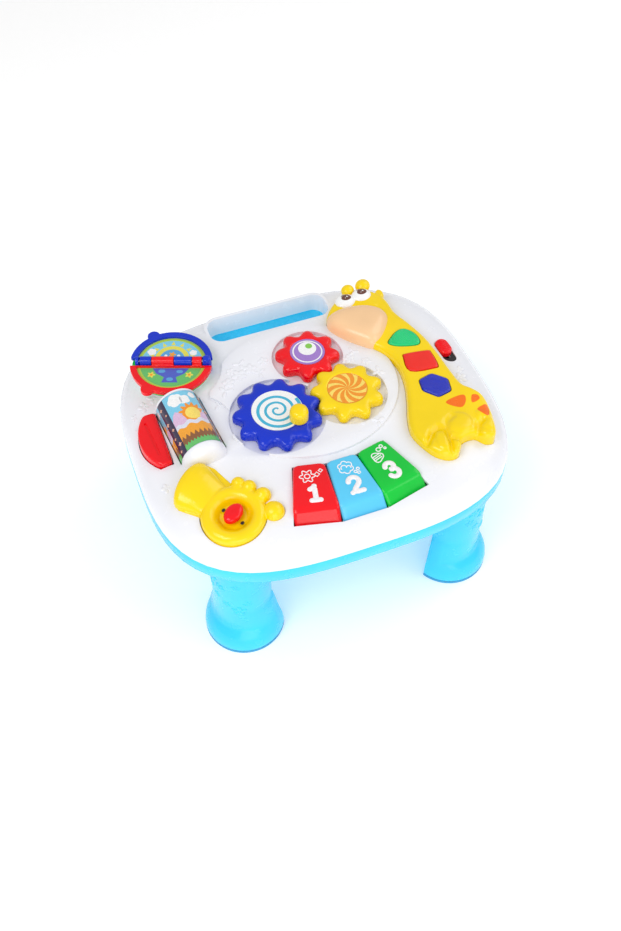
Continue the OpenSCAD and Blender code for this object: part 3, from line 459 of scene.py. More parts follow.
# round rod along the local X axis of a place on the deck
def rodMesh(name, at, turn, z, x0, x1, radius):
    wall = circlePoints(0, z, radius, 32)
    return closedLoft(name, [turned([(x, p[0], p[1]) for p in wall], turn, *at) for x in (x0, x1)])


def discMesh(name, x, y, radius, low, high):
    return loftMesh(name, [atHeight(circlePoints(x, y, radius, 40), z) for z in (low, high)])


def surfaceOf(name):
    return BVHTree.FromObject(bpy.data.objects[name], bpy.context.evaluated_depsgraph_get())


def heightAt(surface, x, y):
    hit = surface.ray_cast(Vector((x * mm, y * mm, 0.3)), Vector((0, 0, -1)))[0]
    return hit.z / mm if hit else 0.0


# thin paint patch that follows a surface, closed underneath
def drapedMesh(name, outline, surface, lift):
    outline = np.array(outline, float)
    centre, rings = outline.mean(0), 6
    stack = []
    for k in range(rings + 1):
        ring = centre + (outline - centre) * (1 - 0.97 * k / rings)
        stack.append([(p[0], p[1], heightAt(surface, *p) + lift) for p in ring])
    under = [(p[0], p[1], p[2] - lift - 0.3) for p in stack[0]]
    return closedLoft(name, [under] + stack, 60.0)


def buildStudio():
    look = {"azimuth": -20.7, "elevation": 52.7, "place": (-213.4, -563.4, 855.2), "focalPixels": 1000.0,
            "frameHigh": 931.0, "sensor": 36.0, "floorHalf": 3.0, "worldLight": 0.57}
    a, e = math.radians(look["azimuth"]), math.radians(look["elevation"])
    back = Vector((math.sin(a) * math.cos(e), -math.cos(a) * math.cos(e), math.sin(e)))
    right = Vector((math.cos(a), math.sin(a), 0))
    up = back.cross(right)
    camera = bpy.data.objects.new("camera", bpy.data.cameras.new("camera"))
    scene.collection.objects.link(camera)
    camera.data.sensor_width = look["sensor"]
    camera.data.lens = look["focalPixels"] / look["frameHigh"] * look["sensor"]
    camera.data.clip_start, camera.data.clip_end = 0.05, 20.0
    pose = Matrix((right, up, back)).transposed().to_4x4()
    pose.translation = Vector(look["place"]) * mm
    camera.matrix_world = pose
    scene.camera = camera

    half = look["floorHalf"]
    sheet = bpy.data.meshes.new("studioFloor")
    sheet.from_pydata([(x, y, 0) for x, y in boxLoop(-half, -half, half, half)], [], [(0, 1, 2, 3)])
    # pale card: matt, with a trace of fibre, and a little light of its own
    sheet.materials.append(startMaterial(
        "paleFloorPaper", "#ffffff", 0.97, ("ShaderNodeTexNoise", {"Scale": 120.0, "Detail": 3.0}),
        Roughness=0.9, Emission_Color=paint("#ffffff"), Emission_Strength=0.22)[0])
    scratch("studioFloor", sheet)

    world = bpy.data.worlds.new("studio")
    scene.world = world
    world.use_nodes = True
    world.node_tree.nodes["Background"].inputs[0].default_value = paint("#ffffff")
    world.node_tree.nodes["Background"].inputs[1].default_value = look["worldLight"]
    lamps = {  # place and size in metres, then power
        "softKey": ((-1.0, -0.5, 1.4), 0.9, 10.0), "softFill": ((1.1, -0.8, 1.0), 1.0, 4.0),
        "softTop": ((1.3, 0.4, 1.4), 1.0, 5.0), "softFront": ((-0.35, -1.6, 0.4), 1.2, 8.0),
    }
    for name, (place, size, power) in lamps.items():
        light = bpy.data.lights.new(name, "AREA")
        light.shape, light.size, light.energy = "SQUARE", size, power
        lamp = bpy.data.objects.new(name, light)
        lamp.location = place
        lamp.rotation_euler = (Vector((0, 0, 0.1)) - Vector(place)).to_track_quat("-Z", "Y").to_euler()
        scene.collection.objects.link(lamp)
    scene.view_settings.view_transform = "Standard"


buildStudio()
print("stage: studio")


# the front of each foot steps in under a rounded shoulder, the rest flares evenly
leg = {"at": (106.8, 103.8), "flat": 11.6, "low": 3.0, "turns": 96, "edge": 0.8, "edgeTop": 4.4,
       "relief": 26.8,
       "flare": ((3, 37.8), (6, 37.8), (14, 37.0), (24, 34.8), (36, 31.4), (50, 28.6), (53, 27.0)),
       "shoulder": ((3, 37.8), (6, 37.8), (12, 37.0), (17, 35.2), (21, 32.4), (24, 29.4), (26, 27.6),
                    (28, 27.1), (31, 27)),
       "levels": (3, 3.4, 4.4, 6, 9, 12, 15, 18, 20.5, 22.5, 24, 25.2, 26.4, 28, 31, 36, 42, 48, 51, 53, 60,
                  80, 100, 117.0)}
# side, end and turn of each leg
legCorners = {"front_left": (-1, -1, -45), "front_right": (1, -1, 45), "back_left": (-1, 1, -135),
              "back_right": (1, 1, 135)}


def buildTable():
    dressNode("deckShell", "top_shell", "table", "white_shell", whiteAbs, 0.8, 3, 34.0, 0.05)
    dressNode("lowerShell", "bottom_shell", "table", "sky_blue_plastic", skyAbs, 0.6, 2, 34.0, 0.05)
    for name, (side, end, turn) in legCorners.items():
        rings = []
        for z in leg["levels"]:
            plain = np.interp(z, *zip(*leg["flare"]))
            step = np.interp(z, *zip(*leg["shoulder"]))
            edge = leg["edge"] * max(0.0, (leg["edgeTop"] - z) / (leg["edgeTop"] - leg["low"])) ** 2
            ring = []
            for a in fullTurn(leg["turns"]):
                front = max(0.0, -math.sin(a)) ** 0.7
                radius = plain * (1 - front) + step * front - edge
                ring.append((radius * math.cos(a), min(radius * math.sin(a), leg["flat"])))
            rings.append(atHeight(turned(ring, turn, side * leg["at"][0], end * leg["at"][1]), z))
        piece = "leg_" + name + "_moulded"
        showPiece(piece, loftMesh(piece, rings, 42.0), "table", "sky_blue_plastic", skyAbs,
                  replaces=("leg_" + name,))


def finishNodes():
    finishes = (
        (steelTurned, "gear_axles crank_pin drum_axle flip_pin key_pins case_screws door_screw "
                      "bar_springs"),
        (siliconeGrey, "key_dome_red key_dome_blue key_dome_green trumpet_dome light_dome_green "
                       "light_dome_red light_dome_blue"),
        (padRubber, "foot_pads"), (contactSteel, "battery_contacts"), (lampEpoxy, "leds"),
        (boardGreen, "key_board circuit_board"), (sleeveBlue, "batteries"),
        (blackAbs, "speaker switch_body"), (whiteAbs, "drum_caps top_shell"),
        (skyAbs, "battery_door bottom_shell leg_front_left leg_front_right leg_back_left leg_back_right"),
        (royalAbs, "gear_blue page_blue"),
        (cherryAbs, "gear_red press_bar page_red trumpet_button key_red power_switch"),
        (sunAbs, "gear_yellow crank_peg trumpet_body giraffe_body giraffe_horns"),
        (leafAbs, "flip_base key_green"), (keyBlueAbs, "key_blue"), (peachAbs, "giraffe_muzzle"),
        (orangeLacquer, "label_yellow giraffe_spots"), (eyeWhite, "giraffe_eyes"),
        (inkWhite, "label_blue label_red drum flip_picture card_blue card_red"),
        (lensGreen, "light_button_green"), (lensRed, "light_button_red"), (lensBlue, "light_button_blue"),
    )
    for material, names in finishes:
        for name in names.split():
            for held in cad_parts[name].material_slots:
                held.material = material


# rules built as node trees, each with a named input for every size
def openTree(name, *inputs):
    tree = bpy.data.node_groups.new(name, "GeometryNodeTree")
    tree.interface.new_socket("Geometry", in_out="INPUT", socket_type="NodeSocketGeometry")
    for label in inputs:
        tree.interface.new_socket(label, in_out="INPUT", socket_type="NodeSocketFloat")
    tree.interface.new_socket("Material", in_out="INPUT", socket_type="NodeSocketMaterial")
    tree.interface.new_socket("Geometry", in_out="OUTPUT", socket_type="NodeSocketGeometry")
    return tree, addNode(tree, "NodeGroupInput").outputs


# turns and places the shape if the rule has inputs for that, then makes it real and inks it
def closeTree(tree, geometry, given, placed=False, scale=(1.0, 1.0, 1.0)):
    if placed:
        spin = addNode(tree, "ShaderNodeCombineXYZ", {"Z": given["Turn"]})
        place = addNode(tree, "ShaderNodeCombineXYZ", {axis: given[axis] for axis in "XYZ"})
        geometry = addNode(tree, "GeometryNodeTransform", {
            "Geometry": geometry, "Translation": place.outputs[0], "Rotation": spin.outputs[0],
            "Scale": scale}).outputs[0]
    real = addNode(tree, "GeometryNodeRealizeInstances", {0: geometry})
    inked = addNode(tree, "GeometryNodeSetMaterial", {"Geometry": real.outputs[0],
                                                      "Material": given["Material"]})
    addNode(tree, "NodeGroupOutput", {0: inked.outputs[0]})
    return tree


# runs a rule tree on a mesh and keeps the plain result
def grown(name, tree, source=None, smoothAngle=60.0, **values):
    piece = scratch(name, source or bpy.data.meshes.new(name))
    rule = piece.modifiers.new("rule", "NODES")
    rule.node_group = tree
    for item in tree.interface.items_tree:
        if item.in_out == "INPUT" and item.name in values:
            rule[item.identifier] = values[item.name]
    return recalculated(baked(piece, smoothAngle), smoothAngle)


# lobed wheel with a bore, a recessed disc seat and soft edges, one closed skin in millimetres
def gearTree():
    # shares of pitch radius and seat radius, offset, height, share of the lobe
    rows = [(0, 0, 4.05, 0, 0), (1, 0, -1.3, 0, 0.9), (1, 0, -0.3, 1.0, 1), (1, 0, -0.3, 5.6, 1),
            (1, 0, -0.7, 7.5, 0.98), (1, 0, -1.6, 8.9, 0.93), (1, 0, -3.0, 9.9, 0.84),
            (1, 0, -5.0, 10.6, 0.64), (1, 0, -7.4, 10.95, 0.36), (0, 1, 1.6, 11.0, 0),
            (0, 1, 0.5, 10.85, 0), (0, 1, 0.05, 10.45, 0), (0, 1, 0.05, 10.15, 0), (0, 0, 7.5, 10.15, 0),
            (0, 0, 7.5, 7.05, 0), (0, 0, 4.05, 7.05, 0), (0, 0, 4.05, 0, 0)]
    tree, given = openTree("gearRule", "Teeth", "Pitch", "Seat", "Lobe", "Phase", "X", "Y", "Z")
    steps = addNode(tree, "ShaderNodeMath", {0: given["Teeth"], 1: 16.0, 2: 1.0}, operation="MULTIPLY_ADD")
    grid = addNode(tree, "GeometryNodeMeshGrid", {"Size X": 1.0, "Size Y": 1.0, "Vertices X": len(rows),
                                                  "Vertices Y": steps.outputs[0]})
    flat = addNode(tree, "GeometryNodeInputPosition")
    spot = addNode(tree, "ShaderNodeSeparateXYZ", {0: flat.outputs[0]})
    along = addNode(tree, "ShaderNodeMath", {0: spot.outputs["X"], 1: 0.5}, operation="ADD")
    angle = addNode(tree, "ShaderNodeMath", {0: spot.outputs["Y"], 1: 2 * math.pi, 2: math.pi},
                    operation="MULTIPLY_ADD")
    share = []
    for column in range(5):
        curve = addNode(tree, "ShaderNodeFloatCurve", {"Value": along.outputs[0]})
        curve.mapping.use_clip = False
        line = curve.mapping.curves[0]
        line.points[0].location = (0, rows[0][column])
        line.points[1].location = (1, rows[-1][column])
        for i, row in enumerate(rows[1:-1]):
            line.points.new((i + 1) / (len(rows) - 1), row[column])
        for point in line.points:
            point.handle_type = "VECTOR"
        curve.mapping.update()
        share.append(curve.outputs[0])
    beat = addNode(tree, "ShaderNodeMath", {0: angle.outputs[0], 1: given["Teeth"]}, operation="MULTIPLY")
    wave = addNode(tree, "ShaderNodeMath", {0: beat.outputs[0]}, operation="COSINE")
    side = addNode(tree, "ShaderNodeMath", {0: wave.outputs[0]}, operation="SIGN")
    size = addNode(tree, "ShaderNodeMath", {0: wave.outputs[0]}, operation="ABSOLUTE")
    full = addNode(tree, "ShaderNodeMath", {0: size.outputs[0], 1: 0.8}, operation="POWER")
    lobe = addNode(tree, "ShaderNodeMath", {0: full.outputs[0], 1: side.outputs[0]}, operation="MULTIPLY")
    tall = addNode(tree, "ShaderNodeMath", {0: lobe.outputs[0], 1: given["Lobe"]}, operation="MULTIPLY")
    reach = share[2]
    for part, whole in ((share[0], given["Pitch"]), (share[1], given["Seat"]), (share[4], tall.outputs[0])):
        reach = addNode(tree, "ShaderNodeMath", {0: part, 1: whole, 2: reach},
                        operation="MULTIPLY_ADD").outputs[0]
    facing = addNode(tree, "ShaderNodeMath", {0: angle.outputs[0], 1: given["Phase"]}, operation="ADD")
    where = {}
    for axis, operation in (("X", "COSINE"), ("Y", "SINE")):
        swing = addNode(tree, "ShaderNodeMath", {0: facing.outputs[0]}, operation=operation)
        where[axis] = addNode(tree, "ShaderNodeMath", {0: swing.outputs[0], 1: reach, 2: given[axis]},
                              operation="MULTIPLY_ADD").outputs[0]
    where["Z"] = addNode(tree, "ShaderNodeMath", {0: share[3], 1: given["Z"]}, operation="ADD").outputs[0]
    point = addNode(tree, "ShaderNodeCombineXYZ", where)
    metres = addNode(tree, "ShaderNodeVectorMath", {0: point.outputs[0], "Scale": mm}, operation="SCALE")
    bent = addNode(tree, "GeometryNodeSetPosition", {"Geometry": grid.outputs["Mesh"],
                                                     "Position": metres.outputs[0]})
    sewn = addNode(tree, "GeometryNodeMergeByDistance", {"Geometry": bent.outputs[0], "Distance": 0.000004})
    return closeTree(tree, sewn.outputs[0], given)


# soft round line along every edge of the source, flattened onto its own plane and then placed
def strokeTree():
    tree, given = openTree("strokeRule", "Radius", "Flatten", "Turn", "X", "Y", "Z")
    path = addNode(tree, "GeometryNodeMeshToCurve", {"Mesh": given["Geometry"]})
    ring = addNode(tree, "GeometryNodeCurvePrimitiveCircle", {"Resolution": 12, "Radius": given["Radius"]})
    tube = addNode(tree, "GeometryNodeCurveToMesh", {"Curve": path.outputs[0], "Fill Caps": True,
                                                     "Profile Curve": ring.outputs[0]})
    ball = addNode(tree, "GeometryNodeMeshIcoSphere", {"Radius": given["Radius"], "Subdivisions": 3})
    ends = addNode(tree, "GeometryNodeInstanceOnPoints", {"Points": given["Geometry"],
                                                          "Instance": ball.outputs[0]})
    both = addNode(tree, "GeometryNodeJoinGeometry")
    for shape in (tube, ends):
        tree.links.new(shape.outputs[0], both.inputs[0])
    squash = addNode(tree, "ShaderNodeCombineXYZ", {"X": 1.0, "Y": 1.0, "Z": given["Flatten"]})
    return closeTree(tree, both.outputs[0], given, True, squash.outputs[0])


# a flower of low petals on every point of the source
def flowerTree():
    tree, given = openTree("flowerRule", "Petals", "Length", "Width", "Height", "Heart")
    petal = addNode(tree, "GeometryNodeMeshUVSphere", {"Segments": 16, "Rings": 10, "Radius": 1.0})
    size = addNode(tree, "ShaderNodeCombineXYZ", {"X": given["Length"], "Y": given["Width"],
                                                  "Z": given["Height"]})
    out = addNode(tree, "ShaderNodeMath", {0: given["Length"], 1: 1.05}, operation="MULTIPLY")
    move = addNode(tree, "ShaderNodeCombineXYZ", {"X": out.outputs[0]})
    leaf = addNode(tree, "GeometryNodeTransform", {
        "Geometry": petal.outputs[0], "Translation": move.outputs[0], "Scale": size.outputs[0]})
    ring = addNode(tree, "GeometryNodeMeshCircle", {"Vertices": given["Petals"], "Radius": 0.00001})
    index = addNode(tree, "GeometryNodeInputIndex")
    part = addNode(tree, "ShaderNodeMath", {0: 2 * math.pi, 1: given["Petals"]}, operation="DIVIDE")
    turn = addNode(tree, "ShaderNodeMath", {0: index.outputs[0], 1: part.outputs[0]}, operation="MULTIPLY")
    facing = addNode(tree, "ShaderNodeCombineXYZ", {"Z": turn.outputs[0]})
    crown = addNode(tree, "GeometryNodeInstanceOnPoints", {
        "Points": ring.outputs[0], "Instance": leaf.outputs[0], "Rotation": facing.outputs[0]})
    button = addNode(tree, "ShaderNodeCombineXYZ", {"X": given["Heart"], "Y": given["Heart"],
                                                    "Z": given["Height"]})
    heart = addNode(tree, "GeometryNodeTransform", {"Geometry": petal.outputs[0],
                                                    "Scale": button.outputs[0]})
    flower = addNode(tree, "GeometryNodeJoinGeometry")
    for shape in (crown, heart):
        tree.links.new(shape.outputs[0], flower.inputs[0])
    spread = addNode(tree, "GeometryNodeInputNamedAttribute", {"Name": "grow"}, data_type="FLOAT")
    swing = addNode(tree, "GeometryNodeInputNamedAttribute", {"Name": "swing"}, data_type="FLOAT")
    lean = addNode(tree, "ShaderNodeCombineXYZ", {"Z": swing.outputs[0]})
    field = addNode(tree, "GeometryNodeInstanceOnPoints", {
        "Points": given["Geometry"], "Instance": flower.outputs[0], "Rotation": lean.outputs[0],
        "Scale": spread.outputs[0]})
    return closeTree(tree, field.outputs[0], given)


# a row of equal half-round ribs
def ribTree():
    tree, given = openTree("ribRule", "Count", "Step", "Length", "Radius", "Turn", "X", "Y", "Z")
    last = addNode(tree, "ShaderNodeMath", {0: given["Count"], 1: 1.0}, operation="SUBTRACT")
    span = addNode(tree, "ShaderNodeMath", {0: last.outputs[0], 1: given["Step"]}, operation="MULTIPLY")
    half = addNode(tree, "ShaderNodeMath", {0: span.outputs[0], 1: -0.5}, operation="MULTIPLY")
    start = addNode(tree, "ShaderNodeCombineXYZ", {"Y": half.outputs[0]})
    pace = addNode(tree, "ShaderNodeCombineXYZ", {"Y": given["Step"]})
    row = addNode(tree, "GeometryNodeMeshLine", {"Count": given["Count"], "Offset": pace.outputs[0],
                                                 "Start Location": start.outputs[0]})
    ball = addNode(tree, "GeometryNodeMeshUVSphere", {"Segments": 20, "Rings": 12, "Radius": 1.0})
    size = addNode(tree, "ShaderNodeCombineXYZ", {"X": given["Length"], "Y": given["Radius"],
                                                  "Z": given["Radius"]})
    rib = addNode(tree, "GeometryNodeTransform", {"Geometry": ball.outputs[0], "Scale": size.outputs[0]})
    ribs = addNode(tree, "GeometryNodeInstanceOnPoints", {"Points": row.outputs[0],
                                                          "Instance": rib.outputs[0]})
    return closeTree(tree, ribs.outputs[0], given, True)


gearRule, strokeRule, flowerRule, ribRule = gearTree(), strokeTree(), flowerTree(), ribTree()
print("stage: rules")


# soft line drawn along paths, each a list of points with a flag for a closed one
def strokes(name, paths, radius, flatten, place, turn, material):
    points, edges = [], []
    for path, closed in paths:
        base, count = len(points), len(path)
        points += [(p[0] * mm, p[1] * mm, 0) for p in path]
        edges += [(base + i, base + (i + 1) % count) for i in range(count if closed else count - 1)]
    source = bpy.data.meshes.new(name)
    source.from_pydata(points, edges, [])
    x, y, z = (value * mm for value in place)
    return grown(name, strokeRule, source, Radius=radius * mm, Flatten=flatten, Turn=math.radians(turn),
                 X=x, Y=y, Z=z, Material=material)


# flower rule on points that are each a place, a size and a swing in degrees
def flowers(name, points, petals, length, width, height, heart, material):
    source = bpy.data.meshes.new(name)
    source.from_pydata([Vector(place) * mm for place, size, swing in points], [], [])
    for label, values in (("grow", [size for place, size, swing in points]),
                          ("swing", [math.radians(swing) for place, size, swing in points])):
        source.attributes.new(label, "FLOAT", "POINT").data.foreach_set("value", values)
    return grown(name, flowerRule, source, Petals=float(petals), Length=length * mm, Width=width * mm,
                 Height=height * mm, Heart=heart * mm, Material=material)


# flat print laid on a surface: every layer is an ink and its outlines, a little above the last
def printPiece(name, layers, placed, body, slot, replaces=(), thick=0.1, cutStep=0.0):
    layer = {"step": 0.03, "sink": 0.05}
    build = bmesh.new()
    used = list(dict.fromkeys(ink for ink, shapes in layers))
    for level, (ink, shapes) in enumerate(layers):
        low = 0.0 if level == 0 else thick - layer["sink"]
        for shape in shapes:
            points, faces = sheetParts(shape, low, thick + layer["step"] * level)
            corners = [build.verts.new(p) for p in points]
            for face in faces:
                build.faces.new([corners[i] for i in face]).material_index = used.index(ink)
    if cutStep:
        left, right = min(v.co.x for v in build.verts), max(v.co.x for v in build.verts)
        for k in range(1, int((right - left) / cutStep) + 1):
            everything = build.verts[:] + build.edges[:] + build.faces[:]
            bmesh.ops.bisect_plane(build, geom=everything, dist=0.00001, plane_no=(1, 0, 0),
                                   plane_co=(left + k * cutStep, 0, 0))
    for v in build.verts:
        v.co = Vector(placed(*v.co)) * mm
    mesh = bpy.data.meshes.new(name)
    build.to_mesh(mesh)
    build.free()
    soften(mesh, 30)
    showPiece(name, mesh, body, slot, *[inks[ink] for ink in used], replaces=replaces)


def buildGears():
    wheel = {"base": 159.0, "top": 170.0, "lobe": 3.4, "labelSeat": 0.84, "peg": (-19.8, -22.2),
             "pegGap": 0.3}
    # teeth, pitch radius, seat radius, phase, material and slot
    gears = {"blue": (11, 37.95, 23.5, 2.2, royalAbs, "royal_blue_plastic"),
             "yellow": (9, 31.05, 18.5, 202.2, sunAbs, "yellow_plastic"),
             "red": (8, 27.6, 16.5, 204.525, cherryAbs, "red_plastic")}
    at = {"blue": (-34.6, -5.8)}
    for new, old, facing in (("yellow", "blue", 2.2), ("red", "yellow", 108.0)):
        gap, a = gears[old][1] + gears[new][1], math.radians(facing)
        at[new] = (at[old][0] + gap * math.cos(a), at[old][1] + gap * math.sin(a))
    for name, (teeth, pitch, seat, phase, material, slot) in gears.items():
        mesh = grown(name + "GearWheel", gearRule, None, 38.0, Teeth=float(teeth), Pitch=pitch, Seat=seat,
                     Lobe=wheel["lobe"], Phase=math.radians(phase), X=at[name][0], Y=at[name][1],
                     Z=wheel["base"], Material=material)
        showPiece(name + "GearWheel", mesh, name + "_gear", slot, replaces=("gear_" + name,))

    def label(piece, name, layers, thick):
        x, y = at[name]
        low = wheel["top"] - wheel["labelSeat"]
        printPiece(piece, layers, lambda px, py, pz: (x + px, y + py, low + pz), name + "_gear",
                   "printed_film", ("label_" + name,), thick)

    # the spiral is cut in short pieces that each stay a simple outline
    spiral = {"start": 1.3, "grow": 20.4, "from": 0.6, "turn": 18.6, "half": 0.95, "widen": 0.65,
              "pieces": 30, "steps": 6}
    coil = []
    for k in range(spiral["pieces"]):
        inner, outer = [], []
        for i in range(spiral["steps"] + 1):
            t = (k * spiral["steps"] + i) / (spiral["pieces"] * spiral["steps"])
            r, a = spiral["start"] + spiral["grow"] * t, spiral["from"] + spiral["turn"] * t
            half = spiral["half"] + spiral["widen"] * t
            inner.append(((r - half) * math.cos(a), (r - half) * math.sin(a)))
            outer.append(((r + half) * math.cos(a), (r + half) * math.sin(a)))
        coil.append([outer + inner[::-1]])
    label("spiralLabel", "blue", [("white", [[circlePoints(0, 0, 23.4, 96)]]), ("teal", coil)], 0.78)
    ray = {"count": 10, "steps": 12, "start": 0.6, "reach": 17.2, "rim": 18, "swing": 46, "bend": 1.2,
           "half": 3.4, "widen": 5.2}
    rays = []
    for k in range(ray["count"]):
        left, right = [], []
        for i in range(ray["steps"] + 1):
            r = ray["start"] + ray["reach"] * i / ray["steps"]
            a = math.radians(360 / ray["count"] * k + ray["swing"] * (r / ray["rim"]) ** ray["bend"])
            half = math.radians(ray["half"] + ray["widen"] * r / ray["rim"])
            left.append((r * math.cos(a - half), r * math.sin(a - half)))
            right.append((r * math.cos(a + half), r * math.sin(a + half)))
        rays.append([left + right[::-1]])
    label("raysLabel", "yellow", [("orange", [[circlePoints(0, 0, 18.4, 90)]]), ("ray", rays)], 0.4)
    label("ringsLabel", "red", [
        ("purple", [[circlePoints(0, 0, 16.4, 90)]]), ("white", [[circlePoints(0, 0, 14.2, 80)]]),
        ("purple", [[circlePoints(0.1, 0, 12.9, 80)]]), ("white", [[circlePoints(1.2, 3.8, 8.6, 60)]]),
        ("dot", [[circlePoints(3.6, 6.2, 3.3, 40)]])], 0.6)

    profile = [(2.6, 0), (7.9, 0), (8.45, 0.5), (8.5, 1.5), (8.5, 8.0), (8.35, 9.6), (7.8, 11.2),
               (6.8, 12.5), (5.4, 13.3), (3.6, 13.75), (1.8, 13.9), (0.3, 13.95)]
    low = wheel["top"] + wheel["pegGap"]
    rings = [atHeight(circlePoints(*wheel["peg"], r, 56), low + z) for r, z in profile]
    showPiece("crankPegCap", loftMesh("crankPegCap", rings, 50.0), "peg", "yellow_plastic", sunAbs,
              replaces=("crank_peg",))


def buildDrum():
    drum = {"at": (-113.0, 8.0), "turn": 5.0, "z": 158.0, "radius": 20.5, "lift": 0.03, "prints": 3,
            "from": -15.0, "panel": 33.9, "strip": 8.9, "half": 31.9}

    # a place beside and along the roller's axis
    def onDeck(side, along, z):
        return (*turned([(side, along)], drum["turn"], *drum["at"])[0], z)

    def wrap(u, v, h):
        r, a = drum["radius"] + h + drum["lift"], u / drum["radius"]
        return onDeck(r * math.sin(a), v, drum["z"] + r * math.cos(a))

    # a row of pointed tips across one print, from right to left
    def teeth(u, count, low, high, gap):
        step, points = drum["panel"] / count, []
        for i in range(count):
            left = u + drum["panel"] * i / count
            points += [(left + gap, low), (left + step / 2, high), (left + step - gap, low)]
        return points[::-1]

    dressNode("drumTube", "drum", "roller", "printed_drum", inks["mist"], 0.2)
    order = ("sky", "night", "white", "orange", "ray", "lilac", "mist", "gold", "brown", "grass", "blush")
    layers = {name: [] for name in order}
    stars = ((-6, 24, 1.2), (-3, 15, 0.9), (-6.4, 6, 1.5), (-3.2, -3, 1.1), (-6, -12, 1.0),
             (-3.4, -20, 1.5), (-6.2, -27, 1.1))
    for k in range(drum["prints"]):
        u = drum["from"] + 2 * math.pi * drum["radius"] / drum["prints"] * k
        end, half = u + drum["panel"], drum["half"]
        layers["sky"].append([boxLoop(u, -half, end, half)])
        layers["night"].append([boxLoop(u - drum["strip"], -half, u, half)])
        layers["white"] += [[waveLoop(u + 11, 23, 6.4, 1.1, 2.5, puffed=True)],
                            [waveLoop(u + 19, 21, 4.6, 0.9, 2.0, puffed=True)],
                            [waveLoop(u + 28.5, 26, 3.2, 0.6, 2.5, puffed=True)]]
        sun = (u + 21, 3)
        layers["orange"].append([waveLoop(*sun, 11.5, 1.9, 14, 140)])
        layers["ray"].append([circlePoints(*sun, 7.2, 60)])
        layers["lilac"] += [[[(u + x, y) for x, y in hill]] for hill in (
            ((0.2, -8), (14, -8), (12.4, 0), (9.6, 7.5), (6.2, 11), (2.8, 8.4), (0.2, 3)),
            ((24, -8), (33.8, -8), (33.8, 2.5), (30.5, 5), (27, 1.5)))]
        wave = [(u + drum["panel"] * i / 24, 1.3 * math.sin(i * 0.8)) for i in range(25)]
        layers["mist"].append([[(x, y - 4.5) for x, y in wave] + [(x, y - 10.5) for x, y in wave[::-1]]])
        layers["gold"].append([[(u, -22.5), (end, -22.5)] + [(x, y - 9.0) for x, y in wave[::-1]]])
        layers["brown"].append([[(u, -27), (end, -27), (end, -20.8)] + teeth(u, 8, -20.8, -16.6, 0.3)
                                + [(u, -20.8)]])
        layers["grass"].append([[(u, -half), (end, -half), (end, -27.6)] + teeth(u, 11, -27.6, -24.8, 0.1)
                                + [(u, -27.6)]])
        layers["blush"] += [[waveLoop(u + x, y, r, 0.45 * r, 4, 24)] for x, y, r in stars]
    printPiece("drumPrint", [(name, layers[name]) for name in order], wrap, "roller", "printed_drum", (),
               0.08, 1.6)

    # white hump that closes the front of the well over the roller's end
    hump = {"radius": 20.75, "core": 3.0, "start": -32.55, "face": -32.7, "deep": 10.8, "open": 100}

    def humpRing(radius, along):
        angles = [math.radians(-hump["open"] + 2 * hump["open"] * i / 60) for i in range(61)]
        return [onDeck(radius * math.sin(a), along, drum["z"] + radius * math.cos(a)) for a in angles]

    rings = [humpRing(hump["radius"], hump["start"])]
    for a in quarterTurn(14):
        rings.append(humpRing(hump["core"] + (hump["radius"] - hump["core"]) * math.cos(a) ** 0.62,
                              hump["face"] - hump["deep"] * math.sin(a) ** 0.9))
    showPiece("drumFrontHump", closedLoft("drumFrontHump", rings, 60.0), "table", "white_shell", whiteAbs)

    bar = {"mid": (-148.0, 8.0), "half": 30.5, "left": 12.0, "right": 10.5, "bulge": 11.0, "low": 143.0,
           "top": 162.0, "round": 2.6, "groove": (2.6, 40.0, 4.0), "grooveDeep": 1.3}
    half, low = bar["half"], bar["top"] - bar["round"]
    r = (half ** 2 + bar["bulge"] ** 2) / (2 * bar["bulge"])
    edge = []
    for i in range(41):
        y = -half + 2 * half * i / 40
        edge.append((r - bar["left"] - math.sqrt(max(0.0, r * r - y * y)), y))
    outline = edge[::-1] + [(bar["right"], -half + 2 * half * i / 20) for i in range(21)]
    soft = evenPoints(wound(turned(outline, 0, *bar["mid"])), 120, 7)
    rings = [atHeight(soft, bar["low"])]
    for a in quarterTurn():
        rings.append(atHeight(insetPoints(soft, 0.1 + bar["round"] * (1 - math.cos(a))),
                              low + bar["round"] * math.sin(a)))
    wide, long, turn = bar["groove"]
    groove = loftMesh("barGroove", [atHeight(slotPoints(bar["mid"], wide, long, turn), z)
                                    for z in (bar["top"] - bar["grooveDeep"], bar["top"] + 2)])
    mesh = carved("pressBarCap", loftMesh("pressBarCap", rings, 50.0), groove, smoothAngle=50.0)
    showPiece("pressBarCap", mesh, "bar", "red_plastic", cherryAbs, replaces=("press_bar",))


